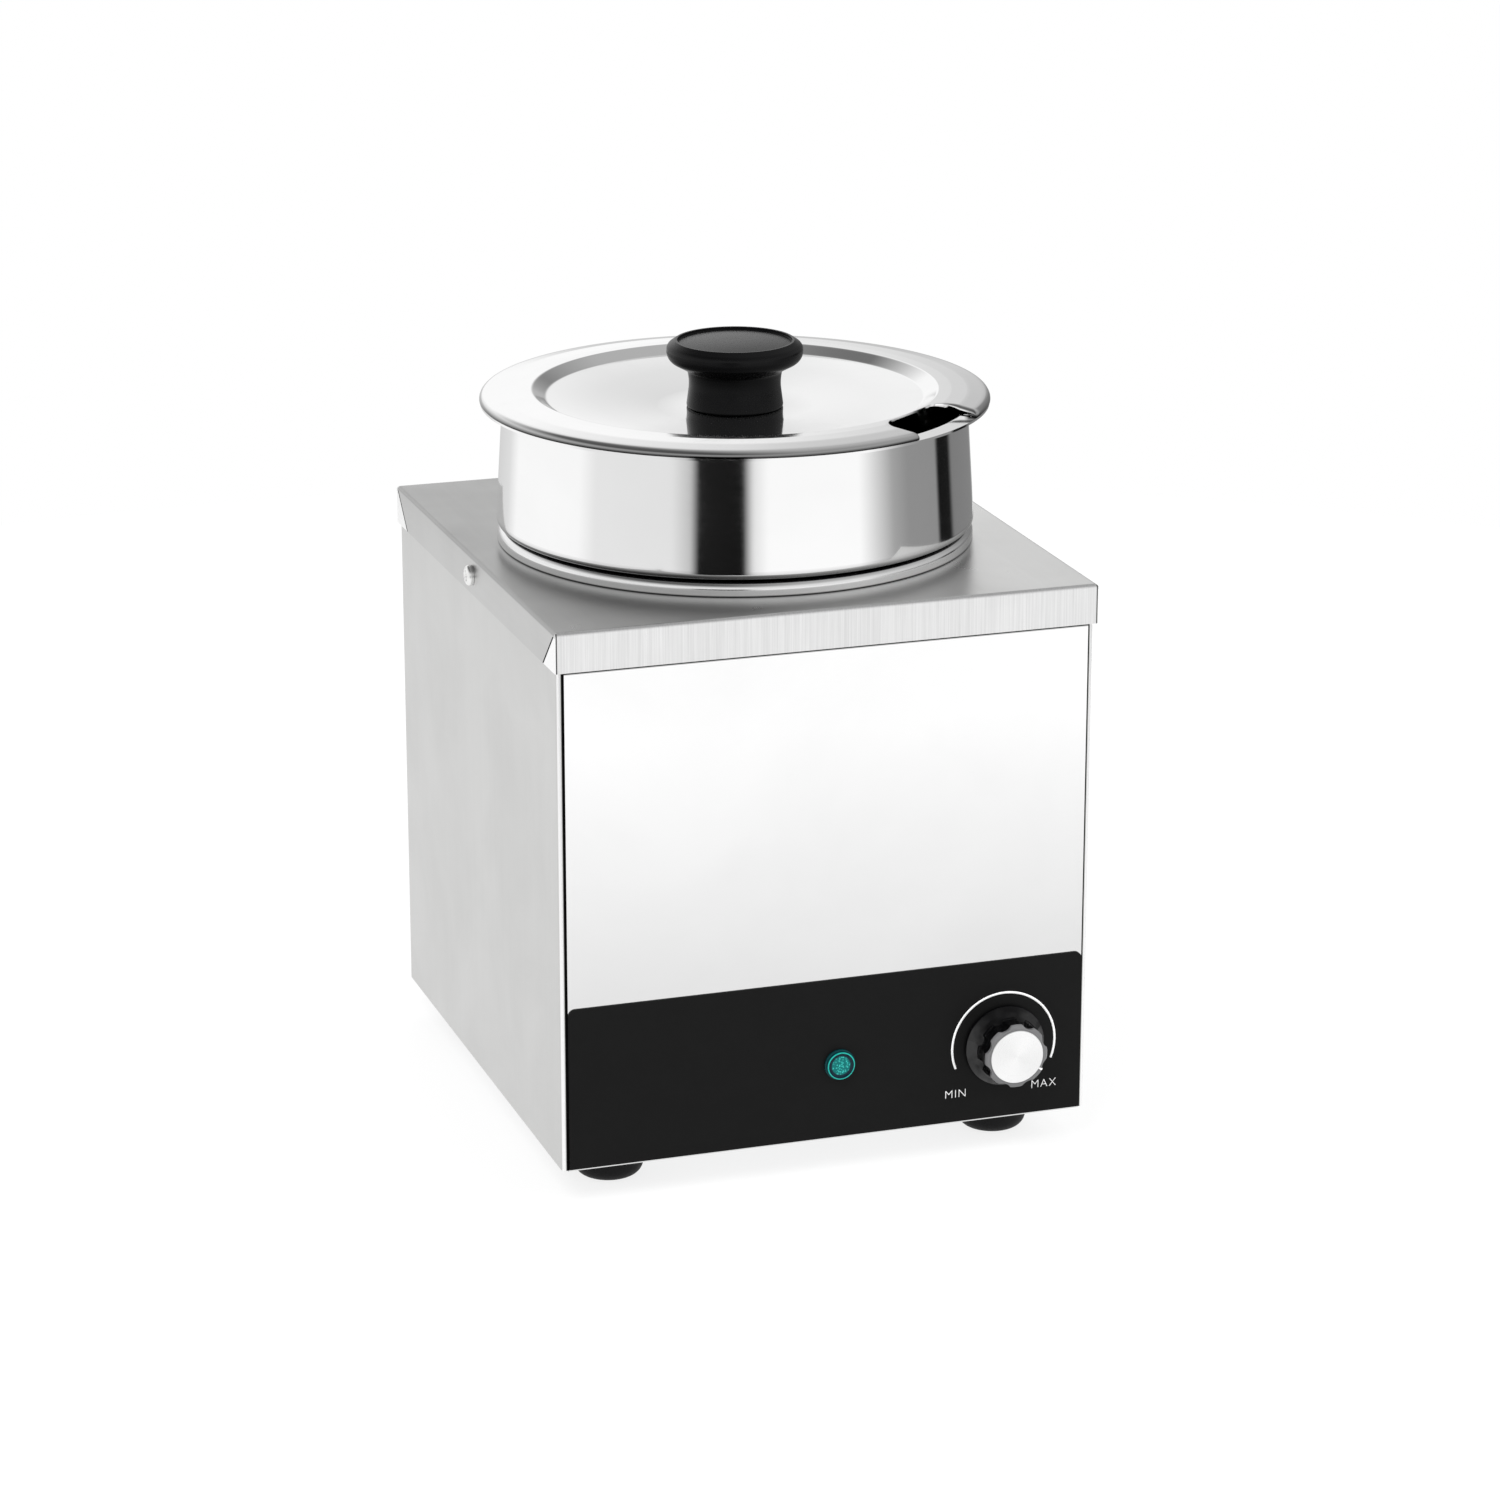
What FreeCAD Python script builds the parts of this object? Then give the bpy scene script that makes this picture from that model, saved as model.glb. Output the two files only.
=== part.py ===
import FreeCAD, Part
import math
import os

# Electric soup kettle: a sheet-steel casing on rubber feet carries a heated well.
# A flared pot drops into the well, and a notched lid with a knob covers the pot.
# Millimetres. +X is right, +Y is back, +Z is up, and the controls face -Y.
# The origin is on the floor under the middle of the whole object.

V = FreeCAD.Vector
RIGHT = V(1, 0, 0)
BACK = V(0, 1, 0)
FRONT = V(0, -1, 0)
UP = V(0, 0, 1)
DOWN = V(0, 0, -1)

# Casing
casing_width = 225.0          # over the side flanges of the cover
casing_depth = 240.0          # over the front and back flanges of the cover
casing_height = 222.8         # lower edge of the walls to the top face of the cover
sheet = 1.0                   # steel sheet of the casing
bend = 2.0                    # outer radius of the bends in the walls
front_return = 14.0           # folds of the walls behind the front panel
bottom_flange = 14.0          # folds of the walls over the base plate
panel_seam = 0.8              # gap between the front panel and the wall's bend
panel_lip = 12.0              # fold at the lower edge of the front panel

# Top cover
cover_flange = 16.2           # height of the folded edge
cover_edge = 1.6              # outer radius of its upper edge
tab_seam = 0.9                # width of the mitred seams at the corners
well_hole_gap = 0.5           # between the cover's hole and the well

# Control fascia
fascia_sheet = 0.6
fascia_height = 67.6
fascia_lift = 0.7             # bare strip of front panel under the fascia
fascia_corner = 3.0
control_height = 32.0         # of the knob and the lamp over the casing's lower edge
knob_inset = 37.3             # of the knob's axis from the casing's right side
lamp_x = 4.5                  # of the lamp's axis from the casing's middle

# Base plate and feet
base_sheet = 1.2
base_inset = 3.0              # of the base plate from the casing's walls
vent_length = 34.0
vent_width = 4.0
vent_pitch = 10.0
vent_count = 5
foot_height = 14.5
foot_radius = 14.2
foot_edge = 5.5               # rounding of the foot's lower edge
foot_inset = 29.5             # of the foot's centre from the casing's sides
foot_setback = 33.0           # of the foot's centre from the casing's front and back

# Fasteners
cover_screw_radius = 2.0
cover_screw_head = 4.3
cover_screw_rise = 2.6
cover_screw_length = 6.0
foot_screw_radius = 2.5
foot_screw_head = 4.2
foot_screw_seat = 6.0         # thickness of rubber left over the screw's head
base_screw_radius = 1.75
base_screw_head = 3.2
nut_height = 4.0
nut_corner = 1.9              # corner radius of a nut, in radii of its screw
head_rise = 0.7               # height of a pan head, in radii of the head
head_round = 0.6              # rounded share of a pan head's height
screw_end = 1.0               # of a screw past the last piece it holds
hole_gap = 0.2                # radial room of a screw in its hole

# Heating well
well_room = 3.5               # between the pot's wall and the well's
heater_room = 38.3            # from the casing's lower edge to the well's floor
well_sheet = 1.0
well_floor_round = 8.0
ring_width = 7.8              # of the rolled rim, from the well's inside
ring_height = 6.2             # of the rolled rim over the cover
ring_outer_round = 3.6
ring_inner_round = 1.4

# Heater under the well
heat_plate_radius = 65.0
heat_plate_thickness = 6.0
element_ring = 55.0           # radius of the element's centre line
element_radius = 4.0
element_leg_x = 12.0
element_back_inset = 35.0     # of the ends of the legs from the casing's back
element_bend = 10.0
element_pin_radius = 1.5
element_pin_length = 8.0
clamp_width = 28.0
clamp_sheet = 2.0
clamp_overhang = 6.0          # of the clamp past the element ring
stud_radius = 3.0
stud_end = 5.0                # of the stud past its nut
groove_gap = 0.1

# Safety cut-out on the heat plate
cutout_gap = 9.0              # between the clamp and the cut-out
cutout_radius = 8.0
cutout_height = 11.0
cutout_flange = 1.6
cutout_body_radius = 6.8
cutout_blade_x = 6.0

# Thermostat
thermostat_width = 44.0
thermostat_height = 40.0
thermostat_plate = 1.2
thermostat_body_width = 38.0
thermostat_body_height = 34.0
thermostat_body_depth = 28.0
bushing_radius = 4.8
bushing_rise = 2.4            # of the bushing past the fascia
thermostat_screw_pitch = 28.0
thermostat_screw_radius = 1.75
thermostat_screw_head = 3.2
shaft_radius = 3.0
shaft_flat = 1.6              # distance of the flat from the shaft's axis
shaft_gap = 0.05
shaft_in_body = 9.0
blade_width = 6.3
blade_thickness = 0.8
blade_length = 8.0

# Sensor of the thermostat
bulb_radius = 3.0
bulb_length = 80.0
bulb_lift = 36.0              # of the bulb over the well's floor
bulb_angle = -45.0
bulb_gap = 0.1
capillary_radius = 1.0
capillary_rise = 10.0         # of the capillary's entry over the control's axis
capillary_bend = 15.0
clip_sheet = 0.8
clip_height = 14.0
clip_ear = 7.0

# Pilot lamp
lens_radius = 6.45
lens_flange = 1.2
lens_dome_radius = 5.2
lens_dome_rise = 1.3
lens_dome_round = 1.0
lens_edge = 0.35              # rounding of the flange's edges
lamp_body_radius = 5.0
lamp_body_length = 18.0       # behind the fascia's face
lamp_clip_radius = 8.5
lamp_clip_sheet = 1.0
lamp_blade_x = 3.0
lamp_blade_width = 2.8

# Control knob
knob_gap = 0.5                # between the fascia and the knob
knob_height = 14.6
knob_skirt_radius = 17.0
knob_skirt_rim = 1.6
knob_skirt_edge = 0.6         # rounding of the skirt's edges
knob_cone_height = 5.0
knob_neck_radius = 12.6
knob_neck_round = 4.0
knob_grip_radius = 13.6
knob_chamfer = 1.2
knob_flutes = 8
flute_radius = 4.2
flute_depth = 1.5
knob_hub_radius = 5.4
knob_wall = 2.0
knob_cap_radius = 11.2
knob_cap_seat = 1.0           # depth of the recess that takes the cap
knob_cap_rise = 0.4           # of the cap past the grip's face
knob_cap_edge = 0.3
shaft_in_knob = 8.0

# Terminal block and earth
block_side_inset = 42.5       # of the block's middle from the casing's left side
block_back_inset = 62.0       # of the block's middle from the casing's back
block_width = 20.0
block_height = 17.0
block_pitch = 12.0
block_poles = 4
block_end = 7.0               # from the outer poles to the block's ends
block_bore = 1.6
block_screw_radius = 1.75
block_screw_head = 3.0
block_step = 6.0              # depth of the side steps over the wire holes
earth_offset = 25.0           # of the earth stud from the block's middle
earth_back_inset = 23.0       # of the earth stud from the casing's back
earth_stud_radius = 2.0
earth_stud_height = 12.0
earth_tag_sheet = 0.8
earth_tag_length = 11.0
earth_eye_radius = 4.4
earth_barrel_radius = 1.6
earth_barrel_lift = 1.7       # of the barrel's axis over the base plate
earth_barrel_length = 5.6

# Cable gland in the back wall
gland_inset = 32.5            # of its axis from the casing's left side
gland_height = 36.0           # of its axis over the casing's lower edge
gland_thread_radius = 8.0
gland_bore = 4.5
gland_hex = 12.0              # corner radius of the body's hexagon
gland_hex_length = 7.0
gland_nut_radius = 10.8
gland_nut_length = 23.9
gland_nut_taper = 7.0         # length of the rounded nose
gland_mouth_rim = 2.2
gland_mouth_round = 0.8
gland_nut_edge = 0.6
gland_nose_round = 4.2
gland_inside = 12.0           # of the thread past the back wall
gland_locknut_height = 5.0

# Wires
wire_radius = 1.2
wire_bend = 5.0
wire_low_lift = 4.3           # of the lower runs over the base plate
wire_high_lift = 18.3         # of the lamp's return over the base plate
wire_entry_lift = 1.8         # of the wire holes over the middle of the terminal block
wire_run = 2 * wire_bend      # shortest straight between two bends

# Pot
pot_sheet = 1.0
pot_radius = 86.5             # outside, in the well
pot_depth = 230.0             # rim to the pot's underside
water_gap = 12.1              # between the well's floor and the pot's underside
shoulder_width = 11.7         # of the step from the pot's wall to its band
band_taper = 3.1              # of the band's radius from the shoulder to the rim
pot_flange = 8.9              # width of the flat rim round the band
shoulder_round = 2.5
shoulder_inner_round = 3.0
pot_floor_round = 12.0
rim_round = 1.5
seat_gap = 0.3                # between a loose piece and its seat

# Lid
lid_sheet = 0.8
lid_overhang = 0.3            # of the lid past the pot's rim
lid_rise = 3.9                # crest over the lid's lower edge
lid_skirt = 2.3               # height of the outer edge before it rounds over
lid_edge_round = 2.6
lid_shoulder = 9.3            # width of the slope from the lid's edge to its crest
lid_crest_round = 76.0
lid_brim = 21.5               # from the lid's edge to the upper edge of the recess
recess_wall = 5.4             # width of the recess's sloped wall
recess_depth = 3.2
recess_round = 2.0
dish_depth = 4.6              # recess floor's edge to the knob's seat
knob_seat_margin = 6.1        # of the knob's seat past the knob's foot
dish_round = 120.0
notch_angle = -51.0           # about the pot's axis, from +X
notch_width = 44.0
notch_bridge = 0.7            # between the notch's inner edge and the recess
notch_round = 7.0

# Lid knob
lid_knob_height = 27.5
lid_knob_foot = 19.9
lid_knob_waist = 18.6
lid_knob_waist_height = 10.0
lid_knob_neck = 19.4
lid_knob_neck_height = 15.2
lid_knob_top_radius = 27.9
lid_knob_under_height = 19.8  # lower corner of the rounded head
lid_knob_rim_height = 25.2    # upper corner of the rounded head
lid_knob_crown_radius = 24.4  # where the head's slope meets its flat ring
lid_knob_edge = 3.0           # rounding of the upper corner
lid_knob_crown_round = 0.5
lid_knob_foot_round = 1.0
lid_knob_waist_round = 20.0
lid_knob_neck_round = 3.0
lid_knob_under_round = 5.0    # rounding of the lower corner
lid_knob_face_radius = 23.4
lid_knob_face_sink = 0.6
lid_knob_face_round = 0.24
lid_screw_radius = 2.5
lid_screw_length = 16.0
lid_screw_head = 4.6
lid_screw_head_height = 3.0
lid_washer_radius = 9.0
lid_washer_sheet = 1.0

# Levels and faces worked out from the sizes above
base_z = foot_height
casing_z = base_z + base_sheet
top_z = casing_z + casing_height
wall_x = casing_width / 2 - sheet
wall_back = casing_depth / 2 - sheet
panel_front = -casing_depth / 2 + sheet
wall_front = panel_front + sheet
panel_x = wall_x - bend - panel_seam
fascia_front = panel_front - fascia_sheet
control_z = casing_z + control_height
knob_x = casing_width / 2 - knob_inset
block_x = block_side_inset - casing_width / 2
block_y = casing_depth / 2 - block_back_inset
earth_x = block_x + earth_offset
earth_y = casing_depth / 2 - earth_back_inset
gland_x = gland_inset - casing_width / 2
well_radius = pot_radius + well_room
ring_radius = well_radius + ring_width
element_leg_end = casing_depth / 2 - element_back_inset
cutout_y = -clamp_width / 2 - cutout_gap - cutout_radius
band_radius = pot_radius + shoulder_width
band_top_radius = band_radius - band_taper
pot_flange_radius = band_top_radius + pot_flange
lid_radius = pot_flange_radius + lid_overhang
lid_crest_radius = lid_radius - lid_shoulder
recess_radius = lid_radius - lid_brim
recess_floor_radius = recess_radius - recess_wall
knob_seat_radius = lid_knob_foot + knob_seat_margin
notch_inner = recess_radius + notch_bridge
well_floor = casing_z + heater_room
well_under = well_floor - well_sheet
ring_top = top_z + ring_height
pot_under = well_floor + water_gap
pot_rim = pot_under + pot_depth
shoulder_z = ring_top + seat_gap
lid_edge_z = pot_rim + seat_gap
lid_crest_z = lid_edge_z + lid_rise
recess_z = lid_crest_z - recess_depth
knob_seat_z = recess_z - dish_depth
heat_plate_under = well_under - heat_plate_thickness
element_under = heat_plate_under - element_radius
clamp_under = element_under - clamp_sheet
knob_back = fascia_front - knob_gap
knob_front = knob_back - knob_height
cap_front = knob_front - knob_cap_rise
gland_reach = gland_hex_length + gland_nut_length
gland_back = wall_back + gland_reach
casing_y = -(gland_back + cap_front) / 2
foot_x = casing_width / 2 - foot_inset
foot_y = casing_depth / 2 - foot_setback
foot_places = [(x, y) for x in (-foot_x, foot_x) for y in (-foot_y, foot_y)]
wire_entry_z = casing_z + block_height / 2 + wire_entry_lift
wire_low = casing_z + wire_low_lift
wire_high = casing_z + wire_high_lift
earth_wire_z = casing_z + earth_barrel_lift


def box(x0, x1, y0, y1, z0, z1):
    """Box between two corners."""
    return Part.makeBox(x1 - x0, y1 - y0, z1 - z0, V(x0, y0, z0))


def cylinder(radius, start, length, axis):
    """Round bar from a point along an axis."""
    return Part.makeCylinder(radius, length, start, axis)


def ring(outer, inner, start, length, axis):
    """Round sleeve from a point along an axis."""
    return cylinder(outer, start, length, axis).cut(cylinder(inner, start, length, axis))


def hexagon(corner_radius, start, length, axis):
    """Six-sided bar from a point along Y or Z."""
    across = RIGHT
    up = axis.cross(across)
    corners = []
    for i in range(7):
        turn = math.radians(60 * i)
        ray = across * math.cos(turn) + up * math.sin(turn)
        corners.append(start + ray * corner_radius)
    return Part.Face(Part.makePolygon(corners)).extrude(axis * length)


def pan_screw(head, rise, shank, length, seat, axis):
    """Pan-head screw: the head stands on the seat along the axis, the shank goes the other way."""
    crown = cylinder(head, seat, rise, axis)
    outer = [edge for edge in crown.Edges if edge.Closed and (edge.CenterOfMass - seat).dot(axis) > rise / 2]
    crown = crown.makeFillet(head_round * rise, outer)
    return crown.fuse(cylinder(shank, seat, length, axis * -1)).removeSplitter()


def rounded_path(points, radii):
    """Edges of an open path of straight runs, with a tangent arc at each inner point."""
    edges = []
    start = points[0]
    for before, corner, after, radius in zip(points, points[1:], points[2:], radii):
        back = (before - corner).normalize()
        ahead = (after - corner).normalize()
        half = back.getAngle(ahead) / 2
        reach = radius / math.tan(half)
        middle = corner + (back + ahead).normalize() * (radius / math.sin(half) - radius)
        first = corner + back * reach
        last = corner + ahead * reach
        edges.append(Part.LineSegment(start, first).toShape())
        edges.append(Part.Arc(first, middle, last).toShape())
        start = last
    edges.append(Part.LineSegment(start, points[-1]).toShape())
    return edges


def sheet_face(points, radii, thickness):
    """Section of a bent sheet: a path and its parallel, a thickness to the left, in 2D points."""
    count = len(points)
    runs = []
    for (x0, y0), (x1, y1) in zip(points, points[1:]):
        length = math.hypot(x1 - x0, y1 - y0)
        runs.append(((x1 - x0) / length, (y1 - y0) / length))
    normals = [(-dy, dx) for dx, dy in runs]
    other = []
    other_radii = []
    for i, (x, y) in enumerate(points):
        first = normals[max(i - 1, 0)]
        last = normals[min(i, count - 2)]
        share = thickness / (1 + first[0] * last[0] + first[1] * last[1])
        other.append((x + (first[0] + last[0]) * share, y + (first[1] + last[1]) * share))
        if 0 < i < count - 1:
            turn = runs[i - 1][0] * runs[i][1] - runs[i - 1][1] * runs[i][0]
            other_radii.append(radii[i - 1] - math.copysign(thickness, turn))
    near = rounded_path([V(x, y, 0) for x, y in points], radii)
    far = rounded_path([V(x, y, 0) for x, y in other], other_radii)
    ends = [Part.LineSegment(V(*points[0], 0), V(*other[0], 0)).toShape(),
            Part.LineSegment(V(*points[-1], 0), V(*other[-1], 0)).toShape()]
    return Part.Face(Part.Wire(Part.__sortEdges__(near + far + ends)))


def turned(face):
    """Solid of revolution about Z from a face drawn as (radius, height)."""
    stood = face.copy()
    stood.rotate(V(0, 0, 0), RIGHT, 90)
    return stood.revolve(V(0, 0, 0), UP, 360)


def turned_outline(points, radii):
    """Solid of revolution about Z from an outline that starts and ends on the axis."""
    edges = rounded_path([V(r, z, 0) for r, z in points], radii)
    edges.append(Part.LineSegment(V(*points[-1], 0), V(*points[0], 0)).toShape())
    return turned(Part.Face(Part.Wire(edges)))


def along_front(shape, x, y, z):
    """Turns a shape built along +Z so that it points to -Y, and puts its start at a place."""
    moved = shape.copy()
    moved.rotate(V(0, 0, 0), RIGHT, 90)
    moved.translate(V(x, y, z))
    return moved


def tube(points, radius, bend_radius):
    """Round wire along straight runs with tangent bends."""
    corners = [V(*p) for p in points]
    path = Part.Wire(rounded_path(corners, [bend_radius] * (len(corners) - 2)))
    section = Part.Wire(Part.makeCircle(radius, corners[0], corners[1] - corners[0]))
    return path.makePipeShell([section], True, True)


def placed(shape, x, y, z):
    """Copy of a shape moved to a place."""
    moved = shape.copy()
    moved.translate(V(x, y, z))
    return moved


def casing_wrapper():
    """Two side walls and the back in one sheet, folded behind the front panel and over the base."""
    fold = wall_x - front_return
    outline = [(fold, wall_front), (wall_x, wall_front), (wall_x, wall_back),
               (-wall_x, wall_back), (-wall_x, wall_front), (-fold, wall_front)]
    walls = sheet_face(outline, [bend] * 4, sheet).extrude(UP * (casing_height - sheet))
    walls.translate(UP * casing_z)
    inner = wall_x - sheet
    ledge_front = wall_front + front_return
    ledge_back = wall_back - sheet
    ledge_z = casing_z + sheet
    for side in (-1, 1):
        x0, x1 = sorted((side * inner, side * (inner - bottom_flange)))
        walls = walls.fuse(box(x0, x1, ledge_front, ledge_back - bend, casing_z, ledge_z))
    back_reach = inner - bottom_flange
    walls = walls.fuse(box(-back_reach, back_reach, ledge_back - bottom_flange, ledge_back,
                           casing_z, ledge_z))
    for place in base_screw_places():
        walls = walls.cut(cylinder(base_screw_radius + hole_gap, V(*place, casing_z), sheet, UP))
    for side in (-1, 1):
        start = V(side * wall_x, 0, cover_screw_z())
        walls = walls.cut(cylinder(cover_screw_radius + hole_gap, start, 2 * sheet, RIGHT * -side))
    start = V(gland_x, wall_back - 2 * sheet, casing_z + gland_height)
    walls = walls.cut(cylinder(gland_thread_radius + hole_gap, start, 4 * sheet, BACK))
    return walls.removeSplitter()


def front_panel():
    """Flat bright panel over the folds of the walls, with a fold at its lower edge."""
    panel = box(-panel_x, panel_x, panel_front, wall_front, casing_z, top_z - sheet)
    lip_x = wall_x - front_return - panel_seam
    panel = panel.fuse(box(-lip_x, lip_x, wall_front, wall_front + panel_lip, casing_z, casing_z + sheet))
    for x, radius in ((knob_x, bushing_radius), (lamp_x, lamp_body_radius)):
        panel = panel.cut(cylinder(radius + hole_gap, V(x, panel_front, control_z), sheet, BACK))
    for x in thermostat_screw_xs():
        panel = panel.cut(countersunk(x, hole_gap))
    return panel.removeSplitter()


def control_fascia():
    """Thin black panel over the lower part of the front."""
    low = casing_z + fascia_lift
    plate = box(-panel_x, panel_x, fascia_front, panel_front, low, low + fascia_height)
    corners = [edge for edge in plate.Edges if abs(edge.tangentAt(0).y) > 0.9
               and edge.CenterOfMass.z > low + fascia_height / 2]
    plate = plate.makeFillet(fascia_corner, corners)
    for x, radius in ((knob_x, bushing_radius), (lamp_x, lamp_body_radius)):
        plate = plate.cut(cylinder(radius + hole_gap, V(x, fascia_front, control_z), fascia_sheet, BACK))
    return plate


def cover_screw_z():
    """Height of the screws in the middle of the cover's flange."""
    return top_z - cover_flange / 2


def top_cover():
    """Folded lid of the casing with a round hole for the well and mitred tabs at its corners."""
    half_x = casing_width / 2
    half_y = casing_depth / 2
    low = top_z - cover_flange
    shell = box(-half_x, half_x, -half_y, half_y, low, top_z)
    upper = [edge for edge in shell.Edges if edge.CenterOfMass.z > top_z - sheet / 2]
    shell = shell.makeFillet(cover_edge, upper)
    shell = shell.cut(box(-wall_x, wall_x, -half_y + sheet, half_y - sheet, low, top_z - sheet))
    hole = well_radius + well_sheet + well_hole_gap
    shell = shell.cut(cylinder(hole, V(0, 0, low), cover_flange, UP))
    for side in (-1, 1):
        start = V(side * (half_x + sheet), 0, cover_screw_z())
        shell = shell.cut(cylinder(cover_screw_radius + hole_gap, start, 3 * sheet, RIGHT * -side))
        for end in (-1, 1):
            shell = shell.cut(mitre_seam(side, end))
    return shell


def mitre_seam(side, end):
    """Slanted slot in a side flange where a corner tab ends."""
    drop = cover_flange - cover_edge
    top = V(0, end * (casing_depth / 2 - cover_edge), top_z - cover_edge)
    points = [top, top + V(0, -end * tab_seam, 0), top + V(0, -end * (tab_seam + drop), -drop),
              top + V(0, -end * drop, -drop), top]
    slot = Part.Face(Part.makePolygon(points)).extrude(V(side * 2 * sheet, 0, 0))
    slot.translate(V(side * (wall_x - sheet / 2), 0, 0))
    return slot


def cover_screws():
    """Pan-head screws through the side flanges of the cover."""
    return [pan_screw(cover_screw_head, cover_screw_rise, cover_screw_radius, cover_screw_length,
                      V(side * casing_width / 2, 0, cover_screw_z()), RIGHT * side) for side in (-1, 1)]


def base_screw_places():
    """Centres of the base plate's screws, in the middle of the walls' folds."""
    side_x = wall_x - sheet - bottom_flange / 2
    back_y = wall_back - sheet - bottom_flange / 2
    side_y = foot_y / 2
    return [(x, y) for x in (-side_x, side_x) for y in (-side_y, side_y)] + \
           [(x, back_y) for x in (-side_y, side_y)]


def base_plate():
    """Flat plate under the casing, with cooling slots and holes for its screws and feet."""
    half_x = wall_x - base_inset
    plate = box(-half_x, half_x, panel_front + base_inset, wall_back - base_inset, base_z, casing_z)
    for place in foot_places:
        plate = plate.cut(cylinder(foot_screw_radius + hole_gap, V(*place, base_z), base_sheet, UP))
    for place in base_screw_places():
        plate = plate.cut(cylinder(base_screw_radius + hole_gap, V(*place, base_z), base_sheet, UP))
    for x, y in block_screw_places():
        plate = plate.cut(cylinder(block_screw_radius, V(x, y, base_z), base_sheet, UP))
    plate = plate.cut(cylinder(earth_stud_radius, V(earth_x, earth_y, base_z), base_sheet, UP))
    run = vent_length / 2 - vent_width / 2
    for row in (-1, 1):
        for i in range(vent_count):
            x = (i - (vent_count - 1) / 2) * vent_pitch
            y = row * vent_length
            slot = box(x - vent_width / 2, x + vent_width / 2, y - run, y + run, base_z, casing_z)
            for end in (-run, run):
                slot = slot.fuse(cylinder(vent_width / 2, V(x, y + end, base_z), base_sheet, UP))
            plate = plate.cut(slot)
    return plate


def foot():
    """Round rubber foot with a rounded lower edge and a recess for its screw, at the origin."""
    body = cylinder(foot_radius, V(0, 0, 0), foot_height, UP)
    lower = [edge for edge in body.Edges if edge.Closed and edge.CenterOfMass.z < foot_height / 2]
    body = body.makeFillet(foot_edge, lower)
    recess = foot_height - foot_screw_seat
    body = body.cut(cylinder(foot_screw_head + hole_gap, V(0, 0, 0), recess, UP))
    return body.cut(cylinder(foot_screw_radius + hole_gap, V(0, 0, 0), foot_height, UP))


def foot_screw():
    """Screw that goes up through a foot and the base plate, at the origin."""
    length = foot_screw_seat + base_sheet + nut_height + screw_end
    return pan_screw(foot_screw_head, head_rise * foot_screw_head, foot_screw_radius, length,
                     V(0, 0, foot_height - foot_screw_seat), DOWN)


def foot_nut():
    """Nut of a foot's screw, on the base plate, at the origin."""
    body = hexagon(nut_corner * foot_screw_radius, V(0, 0, casing_z), nut_height, UP)
    return body.cut(cylinder(foot_screw_radius, V(0, 0, casing_z), nut_height, UP))


def base_screw():
    """Screw that holds the base plate to a fold of the walls, at the origin."""
    length = base_sheet + sheet + 2 * screw_end
    return pan_screw(base_screw_head, head_rise * base_screw_head, base_screw_radius, length,
                     V(0, 0, base_z), DOWN)


def heating_well():
    """Round tank with a rolled rim that stands on the cover, and a stud under its floor."""
    outline = [(ring_radius, top_z), (ring_radius, ring_top), (well_radius, ring_top),
               (well_radius, well_floor), (0, well_floor)]
    tank = turned(sheet_face(outline, [ring_outer_round, ring_inner_round, well_floor_round], well_sheet))
    low = clamp_under - nut_height - stud_end
    return tank.fuse(cylinder(stud_radius, V(0, 0, low), well_under - low, UP)).removeSplitter()


def element_path():
    """Centre line of the element: one leg, round the ring and back along the other leg."""
    centre_y = math.sqrt((element_ring + element_bend) ** 2 - (element_leg_x + element_bend) ** 2)
    z = heat_plate_under
    share = element_ring / (element_ring + element_bend)
    edges = []
    for side in (-1, 1):
        centre = V(side * (element_leg_x + element_bend), centre_y, z)
        meet = V(centre.x * share, centre.y * share, z)
        start = V(side * element_leg_x, centre_y, z)
        inward = ((start - centre) + (meet - centre)).normalize()
        edges.append(Part.LineSegment(V(side * element_leg_x, element_leg_end, z), start).toShape())
        edges.append(Part.Arc(start, centre + inward * element_bend, meet).toShape())
    left = V(-centre.x * share, meet.y, z)
    edges.append(Part.Arc(left, V(0, -element_ring, z), meet).toShape())
    return Part.Wire(Part.__sortEdges__(edges))


def element_body(radius):
    """Round bar of a radius along the element's centre line."""
    path = element_path()
    start = V(-element_leg_x, element_leg_end, heat_plate_under)
    section = Part.Wire(Part.makeCircle(radius, start, BACK))
    return path.makePipeShell([section], True, True)


def heating_element():
    """Tubular element with a connection pin at the end of each leg."""
    body = element_body(element_radius)
    for side in (-1, 1):
        end = V(side * element_leg_x, element_leg_end, heat_plate_under)
        body = body.fuse(cylinder(element_pin_radius, end, element_pin_length, BACK))
    return body


def heat_plate():
    """Disc under the well's floor, with a groove that the element lies in."""
    disc = cylinder(heat_plate_radius, V(0, 0, heat_plate_under), heat_plate_thickness, UP)
    disc = disc.cut(element_body(element_radius + groove_gap))
    return disc.cut(cylinder(stud_radius + hole_gap, V(0, 0, heat_plate_under), heat_plate_thickness, UP))


def element_clamp():
    """Steel strap that the nut pulls up against the element."""
    reach = element_ring + element_radius + clamp_overhang
    strap = box(-reach, reach, -clamp_width / 2, clamp_width / 2, clamp_under, element_under)
    return strap.cut(cylinder(stud_radius + hole_gap, V(0, 0, clamp_under), clamp_sheet, UP))


def clamp_nut():
    """Nut on the well's stud, under the strap."""
    low = V(0, 0, clamp_under - nut_height)
    body = hexagon(nut_corner * stud_radius, low, nut_height, UP)
    return body.cut(cylinder(stud_radius, low, nut_height, UP))


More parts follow.
